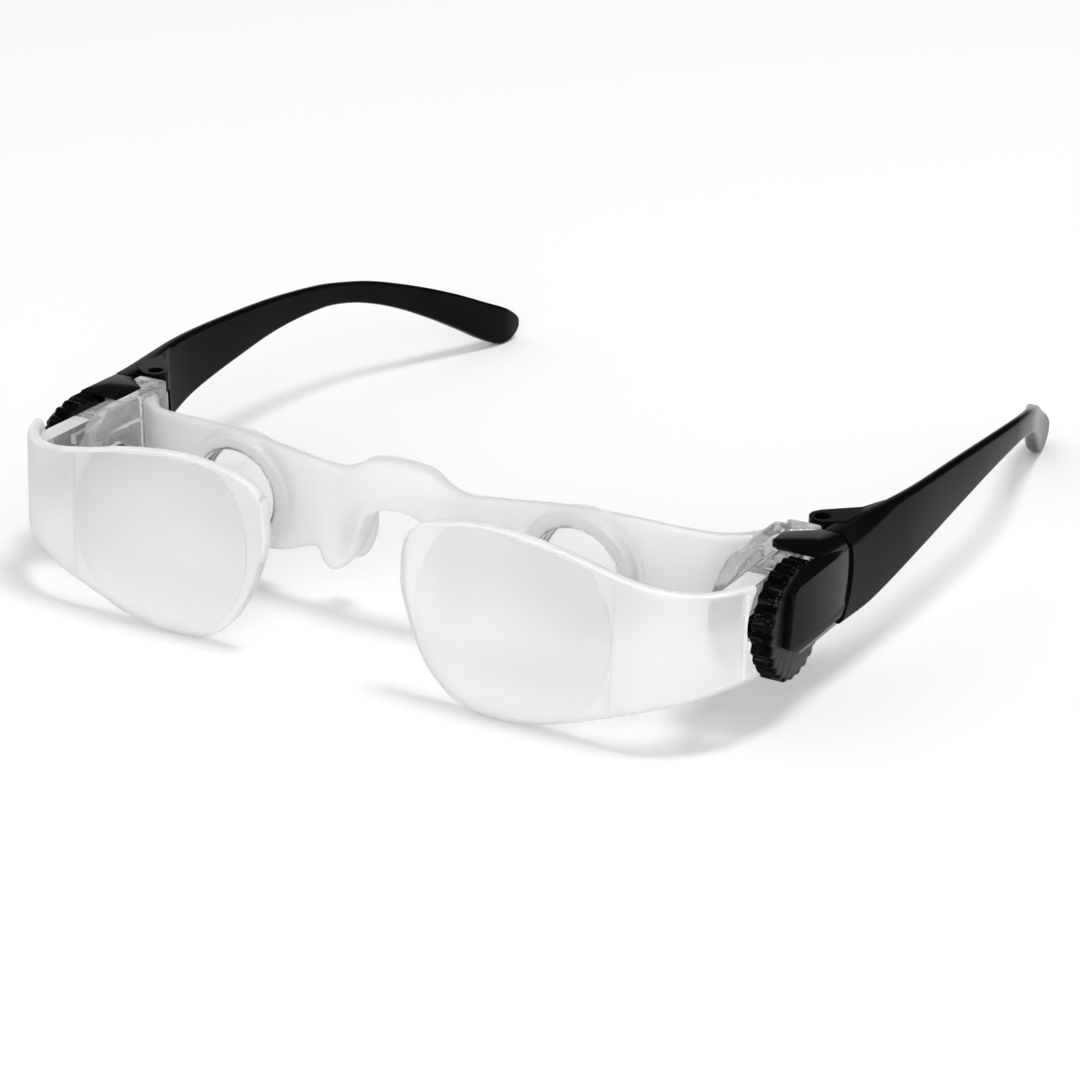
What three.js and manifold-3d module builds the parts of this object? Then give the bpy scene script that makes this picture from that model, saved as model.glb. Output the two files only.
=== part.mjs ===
// Binocular glasses: a frosted clear frame with two small eyepieces, two sliding front
// lens carriers focused by side wheels, and two black folding temples.
// Millimetres. x runs to the wearer's left, y back along the temples, z up.
// While a piece is drawn, y is 0 at the front face of the carriers and z is 0 on the table.

import * as THREE from 'three';
import { mergeVertices } from 'three/addons/utils/BufferGeometryUtils.js';
import Module from 'manifold-3d';

const wasm = await Module();
wasm.setup();

// Clearances and working lengths
const touch = 0.3; // between two pieces that rest on each other
const running = 0.08; // round a pin that turns, on its radius
const overrun = 1; // how far a cutter passes a face
const weld = 0.0001; // points closer than this are one point
const shortestEdge = 0.01; // joins and cuts leave no edge shorter than this
const farAway = 400; // half length of a cutter that takes all on one side

// Wheel axis, from which the rest of each end is set out
const wheelY = 26.6;
const wheelZ = 18.8;

// End arms of the frame
const endArmInnerX = 67.6;
const endArmWall = 3.3;
const endArmNose = 11.2; // radius of its round front, about the wheel's axis
const endArmDrop = 6.4; // from the wheel's axis to its foot
const endArmFootZ = wheelZ - endArmDrop;
const endArmTail = 15; // from the wheel's axis to its rear
const wingRear = wheelY + endArmTail;
const wingDepth = 3.6;

// Rack arm of the carrier
const armGap = 0.8; // from the end arm to the rack arm
const armWidth = 4;
const armRise = 9.3; // from the wheel's axis to its top
const armInnerX = endArmInnerX + endArmWall + armGap;
const armOuterX = armInnerX + armWidth;
const armTopZ = wheelZ + armRise;
const guideDepth = 1.2; // how far the rib stands into the frame's groove
const guideHeight = 1.8;
const guideSunk = 2.2; // from the arm's top to the middle of the rib
const guideZ = armTopZ - guideSunk;

// Focus wheel and its rack
const wheelInnerX = armOuterX + armGap / 2;
const wheelWidth = 4.1;
const wheelRadius = 10.95;
const wheelRoom = 4; // between the wheel and the round end of the carrier's wall
const wallEndRise = 3.2; // centre of that round end above the wheel's axis
const scallops = 26;
const scallopDepth = 0.6;
const wheelBevel = 0.9;
const toothModule = 0.6;
const pinionTeeth = 14;
const backlash = 0.3; // between the teeth, along the rack
const rackAddendum = 0.45;
const pinionAddendum = 0.55;
const dedendum = 0.72;
const journalRadius = 3.3;
const axleRadius = 1;
const axleInWheel = 6;
const axleInHousing = 0.8;
const washerRadius = 3.2;
const washerThickness = 0.35;
const washerRecess = 0.7;
const focusTravel = 7;

// Front carrier with its moulded-in lens
const carrierNasalX = 14.5; // edge nearest the nose
const carrierCornerRadius = 20; // outside of the turn at its end, in plan
const carrierPastArm = 3.9; // how far that turn would reach beyond the rack arm
const carrierCornerX = armOuterX + carrierPastArm - carrierCornerRadius;
const carrierTurn = THREE.MathUtils.degToRad(78);
const carrierHeight = 35.4;
const carrierWall = 2.6;
const carrierEdge = 1.1; // rounding of its edges
const leanShare = 0.07; // how far the front leans back for each length of height
const lensX = 38;
const lensZ = 19.3;
const lensRadius = 19.8;
const lensStep = 0.15; // how far the rim of the lens stands proud of the wall
const lensInset = 0.6; // from the carrier's edge to the lens, where they meet
const lensFrontSag = 1.3;
const lensBackSag = 0.8;

// Rear frame
const frameReachX = endArmInnerX + endArmWall; // from the middle to the end of the plate
const frameFrontY = 24.2; // middle of the plate at the bridge
const frameSweepY = wingRear - frameFrontY; // how far back the plate reaches at its end
const frameHeight = 33.5; // top of the bridge above the table
const plateWall = 2.4;
const bridgeWall = 6.4;
const endWall = 3.2;
const plateEdge = 0.8; // rounding of its edges
const bridgeEdge = 2.6;

// Eyepieces
const eyeX = 37.4;
const eyeZ = 19.5;
const eyeBore = 9.2;
const eyeRim = 1.1; // how far the lens reaches past the bore
const eyeLensRadius = eyeBore + eyeRim;
const eyeCollarWall = 1;
const eyeProud = 1.3; // how far the web round the bore stands out in front
const eyeWebFront = frameFrontY - eyeProud;
const eyeWeb = 1.4;
const eyeFlange = 1;
const eyeRingDepth = 2.4;
const eyeRingWall = 1.2;
const eyeLensSag = 0.75; // hollow of each face of the eye lens

// Nose pads
const padTopX = 9.8;
const padTopZ = 22;
const padFootX = 14.4;
const padFootZ = 9.6;
const padStandOff = 4.4; // behind the middle of the bridge
const padY = frameFrontY + padStandOff;
const padWidth = 6.6;
const padThickness = 3.4;
const padPegRadius = 1.2;

// Side housing
const housingWall = 1.2; // outer plate
const housingSkin = 1.3; // top and bottom plates
const housingOuterX = wheelInnerX + wheelWidth + touch + housingWall;
const housingRise = 11; // from the wheel's axis to its top
const housingDrop = 6; // and to its foot
const housingTopZ = wheelZ + housingRise;
const housingFootZ = wheelZ - housingDrop;
const lipReach = 6.2; // from the wheel's axis to its front lip
const lipDrop = 2.6;
const lipRise = 7.2;
const shoulderBack = 2.4; // where its slope meets the top, behind the axis
const housingFrontY = wheelY - lipReach;
const housingShoulderY = wheelY + shoulderBack;
const housingChamfer = 1.5; // width of the facet along its outer edges
const housingFacetDrop = 3; // height of the upper one
const lidEdge = 0.4; // thickness of the lid where it ends over the wheel
const lidRoom = 2 * touch; // between the wheel and the lid

// Hinge
const hingeInset = 7.4; // from the housing's outer face
const hingeBehind = 5.9; // from the rear of the end arm
const hingeX = housingOuterX - hingeInset;
const hingeY = wingRear + hingeBehind;
const neckHalf = 1.6; // outer half of the neck that carries the tongue
const wingInnerX = hingeX + neckHalf;
const lugRadius = 2.4;
const lugHeight = 4.2;
const lugProud = 0.3; // how far the lugs stand above the housing
const hingeTopZ = housingTopZ + lugProud;
const hingeFootZ = housingFootZ + lugProud + touch / 2;
const hingeScrewRadius = 1;
const hingeHeadRadius = 1.5;
const hingeHeadHeight = 1;
const hingeHeadSunk = 1.5;

// Round seam between housing and temple
const seamRadius = 13.5;
const seamAhead = 2.8; // from the hinge to its rearmost point
const seamRise = 3.5; // of its centre above the wheel's axis
const seamY = hingeY - seamAhead;
const seamZ = wheelZ + seamRise;

// Temple
const templeTipY = 178;
const templeBow = 2.6; // how far its outer face swells beyond the housing
const templeBowX = housingOuterX + templeBow;
const templeHeight = hingeTopZ;
const templeFrontWall = 5.2;
const templeWall = 2.2;
const templeEdge = 0.9;
const bossTail = 16.2; // lengths behind the hinge
const bossWaist = 7.9;
const bossHip = 2.6;
const bossHeel = 1;
const bossHipIn = 1.4; // from the hinge inward
const bossWaistOut = 4.3; // and outward
const bossTailOut = 7.3;
const bossTailRise = 3.7; // how far its foot has risen at the tail
const bossTailY = hingeY + bossTail;
const bossWaistY = hingeY + bossWaist;
const bossHipY = hingeY + bossHip;
const bossHeelY = hingeY + bossHeel;
const bossHipX = hingeX - bossHipIn;
const bossWaistX = hingeX + bossWaistOut;
const bossTailX = hingeX + bossTailOut;
const bossTailFootZ = hingeFootZ + bossTailRise;

// Housing screws
const screwRadius = 0.8;
const screwHeadRadius = 1.45;
const screwHeadHeight = 0.6;
const screwLength = 3;
const screwX = (wingInnerX + touch + housingOuterX - housingWall) / 2;
const screwRise = 7.2; // upper screw above the wheel's axis
const screwDrop = 0.2; // lower screw below it
const screwLowZ = wheelZ - screwDrop;
const screwHighZ = wheelZ + screwRise;

const roundingShare = 0.45; // most that an edge's rounding takes of a wall

// Facets round a circle
const fine = 40;
const medium = 20;
const coarse = 14;

// Outlines, as shares of the sizes that they follow: place along, height.
// Carrier: share of the wall's length, share of its height.
const carrierTopShares = [
  [0, 0.72], [0.006, 0.8], [0.02, 0.873], [0.055, 0.93], [0.13, 0.972], [0.22, 0.998],
  [0.31, 0.998], [0.4, 0.98], [0.49, 0.952], [0.57, 0.915], [0.65, 0.888], [0.74, 0.862],
  [0.83, 0.846], [0.92, 0.848], [1, 0.85],
];
const carrierFootShares = [
  [0, 0.61], [0.008, 0.551], [0.038, 0.373], [0.078, 0.215], [0.123, 0.113], [0.168, 0.05],
  [0.24, 0.008], [0.33, 0], [0.43, 0.035], [0.52, 0.091], [0.61, 0.16], [0.72, 0.24],
  [0.83, 0.305], [0.92, 0.34], [1, 0.356],
];
// Frame plate: share of its reach from the middle, share of its sweep back.
const frameSweepShares = [
  [0, 0], [0.14, 0], [0.28, 0.012], [0.42, 0.035], [0.56, 0.075], [0.68, 0.13],
  [0.78, 0.22], [0.86, 0.37], [0.925, 0.6], [0.97, 0.81], [1, 1],
];
// Share of the reach, share of the frame's height.
const frameTopShares = [
  [0, 1], [0.045, 0.998], [0.09, 0.98], [0.135, 0.925], [0.185, 0.888], [0.3, 0.905],
  [0.42, 0.935], [0.54, 0.95], [0.68, 0.945], [0.8, 0.918], [0.9, 0.884], [1, 0.874],
];
const frameFootShares = [
  [0, 0.7], [0.05, 0.69], [0.085, 0.655], [0.103, 0.6], [0.117, 0.505], [0.141, 0.392],
  [0.175, 0.3], [0.205, 0.256], [0.228, 0.252], [0.247, 0.29], [0.262, 0.36], [0.3, 0.35],
  [0.38, 0.29], [0.46, 0.264], [0.54, 0.264], [0.62, 0.285], [0.73, 0.33], [0.85, 0.375],
  [1, 0.4],
];
// Share of the reach, share of the way from the plate's wall to the bridge's.
const bridgeWallShares = [[0, 1], [0.09, 0.95], [0.15, 0.6], [0.22, 0.2], [0.3, 0], [1, 0]];
// Share of the reach, share of the way from the plate's wall to its end's.
const endWallShares = [[0, 0], [0.88, 0], [0.92, 0.5], [0.96, 1], [1, 1]];
// Temple: share of its length, share of its height.
const templeTopShares = [
  [0, 0.99], [0.143, 1], [0.229, 1], [0.343, 0.982], [0.457, 0.95], [0.572, 0.895],
  [0.629, 0.85], [0.686, 0.793], [0.743, 0.712], [0.8, 0.618], [0.857, 0.508],
  [0.914, 0.384], [0.957, 0.292], [0.986, 0.213], [1, 0.156],
];
const templeFootShares = [
  [0, 0.427], [0.086, 0.43], [0.143, 0.472], [0.229, 0.558], [0.343, 0.64], [0.457, 0.704],
  [0.572, 0.715], [0.629, 0.684], [0.686, 0.614], [0.743, 0.51], [0.8, 0.375],
  [0.857, 0.222], [0.914, 0.065], [0.95, 0], [0.985, 0.03], [1, 0.09],
];
// Share of the length, share of the widest reach of the outer face.
const templeBowShares = [
  [0, 0.969], [0.06, 0.974], [0.143, 0.985], [0.229, 0.996], [0.343, 1], [0.457, 1],
  [0.572, 0.99],
  [0.629, 0.977], [0.686, 0.958], [0.743, 0.931], [0.8, 0.9], [0.857, 0.869],
  [0.914, 0.84], [0.957, 0.822], [1, 0.808],
];
// Share of the length, share of the way from the blade's wall to the front's.
const templeWallShares = [
  [0, 1], [0.07, 1], [0.12, 0.55], [0.17, 0.2], [0.24, 0.03], [0.4, 0], [0.68, 0],
  [0.82, 0.3], [0.95, 0.3], [1, -0.1],
];

// Materials
const frosted = () => new THREE.MeshStandardMaterial({
  color: 0xe9e9ea, roughness: 0.45, transparent: true, opacity: 0.6,
});
const clearPlastic = () => new THREE.MeshStandardMaterial({
  color: 0xf4f6f6, roughness: 0.05, transparent: true, opacity: 0.35,
});
const softClear = () => new THREE.MeshStandardMaterial({
  color: 0xe4e4e5, roughness: 0.6, transparent: true, opacity: 0.7,
});
const satinBlack = () => new THREE.MeshStandardMaterial({ color: 0x161618, roughness: 0.32 });
const glossBlack = () => new THREE.MeshStandardMaterial({ color: 0x101012, roughness: 0.18 });
const mattBlack = () => new THREE.MeshStandardMaterial({ color: 0x17171a, roughness: 0.6 });
const steel = () => new THREE.MeshStandardMaterial({
  color: 0xb9bcc0, roughness: 0.3, metalness: 1,
});

// Solids

function signedVolume(points, faces) {
  const a = new THREE.Vector3();
  const b = new THREE.Vector3();
  const c = new THREE.Vector3();
  let volume = 0;
  for (let i = 0; i < faces.length; i += 3) {
    a.fromArray(points, faces[i] * 3);
    b.fromArray(points, faces[i + 1] * 3);
    c.fromArray(points, faces[i + 2] * 3);
    volume += a.dot(b.cross(c));
  }
  return volume;
}

// A geometry as a solid, its shared points merged and its faces turned outward.
function solid(geometry) {
  const plain = geometry.clone();
  plain.deleteAttribute('normal');
  plain.deleteAttribute('uv');
  const merged = mergeVertices(plain, weld);
  const points = Float32Array.from(merged.attributes.position.array);
  const faces = [];
  const index = merged.index.array;
  for (let i = 0; i < index.length; i += 3) {
    const [a, b, c] = [index[i], index[i + 1], index[i + 2]];
    if (a !== b && b !== c && c !== a) faces.push(a, b, c);
  }
  if (signedVolume(points, faces) < 0) faces.reverse();
  return new wasm.Manifold(new wasm.Mesh({
    numProp: 3, vertProperties: points, triVerts: Uint32Array.from(faces),
  }));
}

function geometryOf(body) {
  const mesh = body.simplify(shortestEdge).getMesh();
  const geometry = new THREE.BufferGeometry();
  geometry.setAttribute('position', new THREE.BufferAttribute(mesh.vertProperties, 3));
  geometry.setIndex(new THREE.BufferAttribute(mesh.triVerts, 1));
  geometry.computeVertexNormals();
  return geometry;
}

const join = (first, ...others) => others.reduce((sum, body) => sum.add(body), first);
const cut = (first, ...others) => others.reduce((sum, body) => sum.subtract(body), first);

// The same piece for the other side.
function mirrored(geometry) {
  const twin = geometry.clone();
  twin.applyMatrix4(new THREE.Matrix4().makeScale(-1, 1, 1));
  twin.setIndex(Array.from(geometry.index.array).reverse());
  twin.computeVertexNormals();
  return twin;
}

// Prisms: an outline of two coordinates, extruded along the third.

function extruded(outline, depth) {
  return new THREE.ExtrudeGeometry(new THREE.Shape(outline), { depth, bevelEnabled: false });
}

// Outline in y and z.
function alongX(outline, from, to) {
  const turn = new THREE.Matrix4().makeBasis(
    new THREE.Vector3(0, 1, 0), new THREE.Vector3(0, 0, 1), new THREE.Vector3(1, 0, 0));
  return solid(extruded(outline, to - from).applyMatrix4(turn.setPosition(from, 0, 0)));
}

// Outline in x and z.
function alongY(outline, from, to) {
  const turn = new THREE.Matrix4().makeBasis(
    new THREE.Vector3(1, 0, 0), new THREE.Vector3(0, 0, 1), new THREE.Vector3(0, -1, 0));
  return solid(extruded(outline, to - from).applyMatrix4(turn.setPosition(0, to, 0)));
}

// Outline in x and y.
function alongZ(outline, from, to) {
  return solid(extruded(outline, to - from).translate(0, 0, from));
}

const point = (u, v) => new THREE.Vector2(u, v);
const rectangle = (u0, v0, u1, v1) => [point(u0, v0), point(u1, v0), point(u1, v1), point(u0, v1)];
const block = (x0, x1, y0, y1, z0, z1) => alongZ(rectangle(x0, y0, x1, y1), z0, z1);

// Round pieces

function rodX(radius, from, to, y, z, facets) {
  const rod = new THREE.CylinderGeometry(radius, radius, to - from, facets);
  return solid(rod.rotateZ(Math.PI / 2).translate((from + to) / 2, y, z));
}

function rodY(radius, from, to, x, z, facets) {
  const rod = new THREE.CylinderGeometry(radius, radius, to - from, facets);
  return solid(rod.translate(x, (from + to) / 2, z));
}

function rodZ(radius, from, to, x, y, facets) {
  const rod = new THREE.CylinderGeometry(radius, radius, to - from, facets);
  return solid(rod.rotateX(Math.PI / 2).translate(x, y, (from + to) / 2));
}

// Radius of a faceted hole that leaves the gap round a pin at every angle.
const hole = (pin, gap, facets) => (pin + gap) / Math.cos(Math.PI / facets);

// Points of a shallow arc from the axis, at height, out to a radius, where it has sunk by sag.
function domeProfile(height, radius, sag, steps) {
  const profile = [];
  for (let i = 0; i <= steps; i++) {
    const share = i / steps;
    profile.push(point(radius * share, height - sag * share * share));
  }
  return profile;
}

// Smooth curves through tables of shares

function smooth(shares, place) {
  let i = 0;
  while (i < shares.length - 2 && place > shares[i + 1][0]) i++;
  const [start, end] = [shares[i], shares[i + 1]];
  const before = shares[Math.max(i - 1, 0)];
  const after = shares[Math.min(i + 2, shares.length - 1)];
  const span = end[0] - start[0];
  const t = (place - start[0]) / span;
  const startSlope = (end[1] - before[1]) / (end[0] - before[0]) * span;
  const endSlope = (after[1] - start[1]) / (after[0] - start[0]) * span;
  return (2 * t ** 3 - 3 * t ** 2 + 1) * start[1] + (t ** 3 - 2 * t ** 2 + t) * startSlope
    + (3 * t ** 2 - 2 * t ** 3) * end[1] + (t ** 3 - t ** 2) * endSlope;
}

// A rectangle with round corners, about its middle.
function roundedSection(width, height, radius, steps) {
  const section = [];
  for (let corner = 0; corner < 4; corner++) {
    const u = (corner === 0 || corner === 3 ? 1 : -1) * (width / 2 - radius);
    const v = (corner < 2 ? 1 : -1) * (height / 2 - radius);
    for (let step = 0; step <= steps; step++) {
      const angle = (corner + step / steps) * Math.PI / 2;
      section.push(point(u + radius * Math.cos(angle), v + radius * Math.sin(angle)));
    }
  }
  return section;
}

// A skin over rings of equally many points, closed by a fan at each end.
function loft(rings) {
  const count = rings[0].length;
  const points = rings.flat();
  const faces = [];
  for (let ring = 0; ring < rings.length - 1; ring++) {
    for (let i = 0; i < count; i++) {
      const a = ring * count + i;
      const b = ring * count + (i + 1) % count;
      faces.push(a, b, b + count, a, b + count, a + count);
    }
  }
  const lastRing = (rings.length - 1) * count;
  const firstMiddle = points.length;
  for (const ring of [rings[0], rings[rings.length - 1]]) {
    points.push(ring.reduce((sum, p) => sum.add(p), new THREE.Vector3()).divideScalar(count));
  }
  for (let i = 0; i < count; i++) {
    const next = (i + 1) % count;
    faces.push(firstMiddle, next, i, firstMiddle + 1, lastRing + i, lastRing + next);
  }
  const geometry = new THREE.BufferGeometry().setFromPoints(points);
  geometry.setIndex(faces);
  return solid(geometry);
}

// An upright ring at a place in plan, across the direction of travel.
function uprightRing(place, across, width, foot, top, radius, steps) {
  const round = Math.min(radius, width * roundingShare, (top - foot) * roundingShare);
  return roundedSection(width, top - foot, round, steps).map((p) => new THREE.Vector3(
    place.x + across.x * p.x, place.y + across.y * p.x, (foot + top) / 2 + p.y));
}

// Front carriers

const carrierPath = new THREE.Path()
  .moveTo(carrierNasalX, carrierWall / 2)
  .lineTo(carrierCornerX, carrierWall / 2)
  .absarc(carrierCornerX, carrierCornerRadius, carrierCornerRadius - carrierWall / 2,
    -Math.PI / 2, carrierTurn - Math.PI / 2);
const carrierStations = 34;

function carrierWallSolid() {
  const rings = [];
  for (let i = 0; i <= carrierStations; i++) {
    const share = (i / carrierStations) ** 1.5;
    const tangent = carrierPath.getTangentAt(share);
    const across = point(tangent.y, -tangent.x);
    const foot = Math.max(smooth(carrierFootShares, share), 0) * carrierHeight;
    const top = smooth(carrierTopShares, share) * carrierHeight;
    rings.push(uprightRing(
      carrierPath.getPointAt(share), across, carrierWall, foot, top, carrierEdge, 2));
  }
  return loft(rings);
}

// The carrier's front outline as far as its straight part goes.
function carrierFrontOutline() {
  const length = carrierPath.getLength();
  const straight = (carrierCornerX - carrierNasalX) / length;
  const steps = 24;
  const upper = [];
  const lower = [];
  for (let i = 0; i <= steps; i++) {
    const share = (i / steps) ** 1.5 * straight;
    const x = carrierNasalX + share * length;
    upper.push(point(x, smooth(carrierTopShares, share) * carrierHeight - lensInset));
    lower.push(point(x, smooth(carrierFootShares, share) * carrierHeight + lensInset));
  }
  return [...lower, ...upper.reverse()];
}

function carrierLens() {
  const front = domeProfile(lensStep + lensFrontSag, lensRadius, lensFrontSag, 4);
  const back = domeProfile(-carrierWall - lensBackSag, lensRadius - lensStep, -lensBackSag, 3);
  const disc = new THREE.LatheGeometry([...back, ...front.reverse()], fine);
  disc.rotateX(Math.PI).translate(lensX, 0, lensZ);
  return solid(disc).intersect(alongY(carrierFrontOutline(), -farAway, farAway));
}

const pitchRadius = toothModule * pinionTeeth / 2;
const toothPitch = Math.PI * toothModule;
const rackPitchZ = wheelZ + pitchRadius;
const rackTipZ = rackPitchZ - rackAddendum;
const rackRootZ = rackPitchZ + dedendum;
const pressureAngle = THREE.MathUtils.degToRad(20);
const pressureSlope = Math.tan(pressureAngle);
const rackRear = wheelY + focusTravel + toothPitch;
const rackFront = wheelY - toothPitch * 1.5;
const armRear = rackRear + touch;

// What lies under the rack's teeth, as one outline in y and z.
function rackSpaces() {
  const halfTooth = toothPitch / 4 - backlash / 4;
  const outline = [point(armRear + overrun, wheelZ), point(rackFront, wheelZ)];
  outline.push(point(rackFront, rackRootZ));
  const first = Math.ceil((rackFront - wheelY) / toothPitch);
  const last = Math.floor((rackRear - wheelY) / toothPitch);
  for (let i = first; i < last; i++) {
    const middle = wheelY + (i + 0.5) * toothPitch;
    const tipHalf = halfTooth - rackAddendum * pressureSlope;
    const rootHalf = halfTooth + dedendum * pressureSlope;
    outline.push(point(middle - rootHalf, rackRootZ), point(middle - tipHalf, rackTipZ));
    outline.push(point(middle + tipHalf, rackTipZ), point(middle + rootHalf, rackRootZ));
  }
  outline.push(point(armRear + overrun, rackRootZ));
  return outline;
}

function rackArm() {
  const onWall = (x) => carrierCornerRadius - Math.sqrt(
    (carrierCornerRadius - carrierWall / 2) ** 2 - (x - carrierCornerX) ** 2);
  const plan = [
    point(armInnerX, armRear), point(armInnerX, onWall(armInnerX)),
    point((armInnerX + armOuterX) / 2, onWall((armInnerX + armOuterX) / 2)),
    point(armOuterX, onWall(armOuterX)), point(armOuterX, armRear),
  ];
  const bar = cut(
    alongZ(plan, rackTipZ, armTopZ),
    alongX(rackSpaces(), armInnerX - overrun, armOuterX + overrun));
  const rib = block(armInnerX - guideDepth, armInnerX + touch, rackFront - focusTravel, armRear,
    guideZ - guideHeight / 2, guideZ + guideHeight / 2);
  return bar.add(rib);
}

function leaned(body) {
  const lean = new THREE.Matrix4().makeShear(0, 0, 0, 0, 0, leanShare);
  const shift = new THREE.Matrix4().makeTranslation(0, -leanShare * lensZ, 0);
  return solid(geometryOf(body).applyMatrix4(lean).applyMatrix4(shift));
}

function objective() {
  const wheelSpace = rodX(
    wheelRadius + wheelRoom, armOuterX + weld, farAway, wheelY, wheelZ + wallEndRise, fine);
  const front = leaned(carrierWallSolid().add(carrierLens()));
  return geometryOf(cut(front, wheelSpace).add(rackArm()));
}

// Focus wheels, drawn about their own axis with x from the inner face of the rim

function wheelOutline(outer, depth) {
  const perScallop = 4;
  const outline = [];
  for (let i = 0; i < scallops * perScallop; i++) {
    const angle = i / (scallops * perScallop) * 2 * Math.PI;
    const radius = outer - depth * (0.5 - 0.5 * Math.cos(scallops * angle));
    outline.push(point(radius * Math.cos(angle), radius * Math.sin(angle)));
  }
  return outline;
}

// One tooth flank follows the involute of the base circle.
function pinionOutline() {
  const base = pitchRadius * Math.cos(pressureAngle);
  const root = pitchRadius - dedendum;
  const tip = pitchRadius + pinionAddendum;
  const involute = (radius) => {
    const angle = Math.acos(Math.min(base / radius, 1));
    return Math.tan(angle) - angle;
  };
  const halfAtPitch = (toothPitch / 4 - backlash / 4) / pitchRadius;
  const halfAt = (radius) => halfAtPitch + involute(pitchRadius) - involute(radius);
  const radii = [root, base, (base + tip) / 2, tip];
  const outline = [];
  for (let tooth = 0; tooth < pinionTeeth; tooth++) {
    const middle = Math.PI / 2 + tooth / pinionTeeth * 2 * Math.PI;
    for (const r of radii) {
      const angle = middle - halfAt(r);
      outline.push(point(r * Math.cos(angle), r * Math.sin(angle)));
    }
    for (const r of [...radii].reverse()) {
      const angle = middle + halfAt(r);
      outline.push(point(r * Math.cos(angle), r * Math.sin(angle)));
    }
  }
  return outline;
}

const journalEnd = endArmInnerX - wheelInnerX;
const pinionEnd = armInnerX - wheelInnerX - touch / 2;

function focusWheel() {
  const rings = [[0, 0], [wheelWidth - wheelBevel, 0], [wheelWidth, wheelBevel]].map(
    ([x, inset]) => wheelOutline(wheelRadius - inset, scallopDepth).map(
      (p) => new THREE.Vector3(x, p.x, p.y)));
  return geometryOf(cut(
    join(
      loft(rings),
      alongX(pinionOutline(), pinionEnd, touch),
      rodX(journalRadius, journalEnd, pinionEnd + touch, 0, 0, medium)),
    rodX(hole(axleRadius, running, medium), wheelWidth - axleInWheel, farAway, 0, 0, medium),
    rodX(washerRadius + touch, wheelWidth - washerRecess, farAway, 0, 0, medium)));
}

// The pin stands in the housing's plate and the wheel turns on it.
function wheelAxle() {
  const plateFace = housingOuterX - housingWall - wheelInnerX;
  return geometryOf(rodX(
    axleRadius, wheelWidth - axleInWheel + touch, plateFace + axleInHousing - touch,
    0, 0, medium));
}

// A dished spring washer between the wheel and the housing's plate.
function frictionWasher() {
  const inner = hole(axleRadius, running, medium);
  const dish = housingOuterX - housingWall - wheelInnerX - wheelWidth + washerRecess
    - washerThickness - touch;
  const profile = [
    point(inner, 0), point(washerRadius, dish), point(washerRadius, dish + washerThickness),
    point(inner, washerThickness), point(inner, 0),
  ];
  const washer = new THREE.LatheGeometry(profile, medium);
  washer.rotateZ(-Math.PI / 2).translate(wheelWidth - washerRecess + touch / 2, 0, 0);
  return geometryOf(solid(washer));
}

// Rear frame

function framePlate() {
  const stations = 56;
  const rings = [];
  const at = (share) => point(
    share * frameReachX, frameFrontY + smooth(frameSweepShares, Math.abs(share)) * frameSweepY);
  for (let i = 0; i <= stations; i++) {
    const share = -1 + 2 * i / stations;
    const reach = Math.abs(share);
    const nudge = 1 / stations;
    const tangent = at(Math.min(share + nudge, 1)).sub(at(Math.max(share - nudge, -1)));
    tangent.normalize();
    const bridge = smooth(bridgeWallShares, reach);
    const end = smooth(endWallShares, reach);
    const width = plateWall + (bridgeWall - plateWall) * bridge + (endWall - plateWall) * end;
    rings.push(uprightRing(
      at(share), point(tangent.y, -tangent.x), width,
      smooth(frameFootShares, reach) * frameHeight, smooth(frameTopShares, reach) * frameHeight,
      plateEdge + (bridgeEdge - plateEdge) * bridge, 1));
  }
  return loft(rings);
}

const eyeSeatY = eyeWebFront + eyeWeb;
const eyeCollarRear = eyeSeatY + eyeFlange + eyeRingDepth + 3 * touch;
const eyeCollarInner = hole(eyeLensRadius, touch, fine);

function eyeCollar(x) {
  return rodY(eyeCollarInner + eyeCollarWall, eyeWebFront, eyeCollarRear, x, eyeZ, fine);
}

function eyeHollow(x) {
  return join(
    rodY(eyeCollarInner, eyeSeatY, farAway, x, eyeZ, fine),
    rodY(eyeBore, -overrun, farAway, x, eyeZ, fine));
}

// The clear arm beside the wheel, with the wheel's bearing and the carrier's groove.
function endArm() {
  const start = Math.asin((endArmFootZ - wheelZ) / endArmNose);
  const outline = [];
  const steps = 18;
  for (let i = 0; i <= steps; i++) {
    const angle = Math.PI / 2 + (Math.PI / 2 - start) * i / steps;
    outline.push(point(
      wheelY + endArmNose * Math.cos(angle), wheelZ + endArmNose * Math.sin(angle)));
  }
  outline.push(point(wingRear, endArmFootZ), point(wingRear, wheelZ + endArmNose));
  const outerX = endArmInnerX + endArmWall;
  return cut(
    alongX(outline, endArmInnerX, outerX),
    rodX(hole(journalRadius, running, medium), 0, farAway, wheelY, wheelZ, medium),
    block(armInnerX - guideDepth - touch, outerX + overrun, 0, armRear + touch,
      guideZ - guideHeight / 2 - touch, guideZ + guideHeight / 2 + touch));
}

const tongueFootZ = hingeFootZ + lugHeight + touch;
const tongueTopZ = hingeTopZ - lugHeight - touch;

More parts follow.
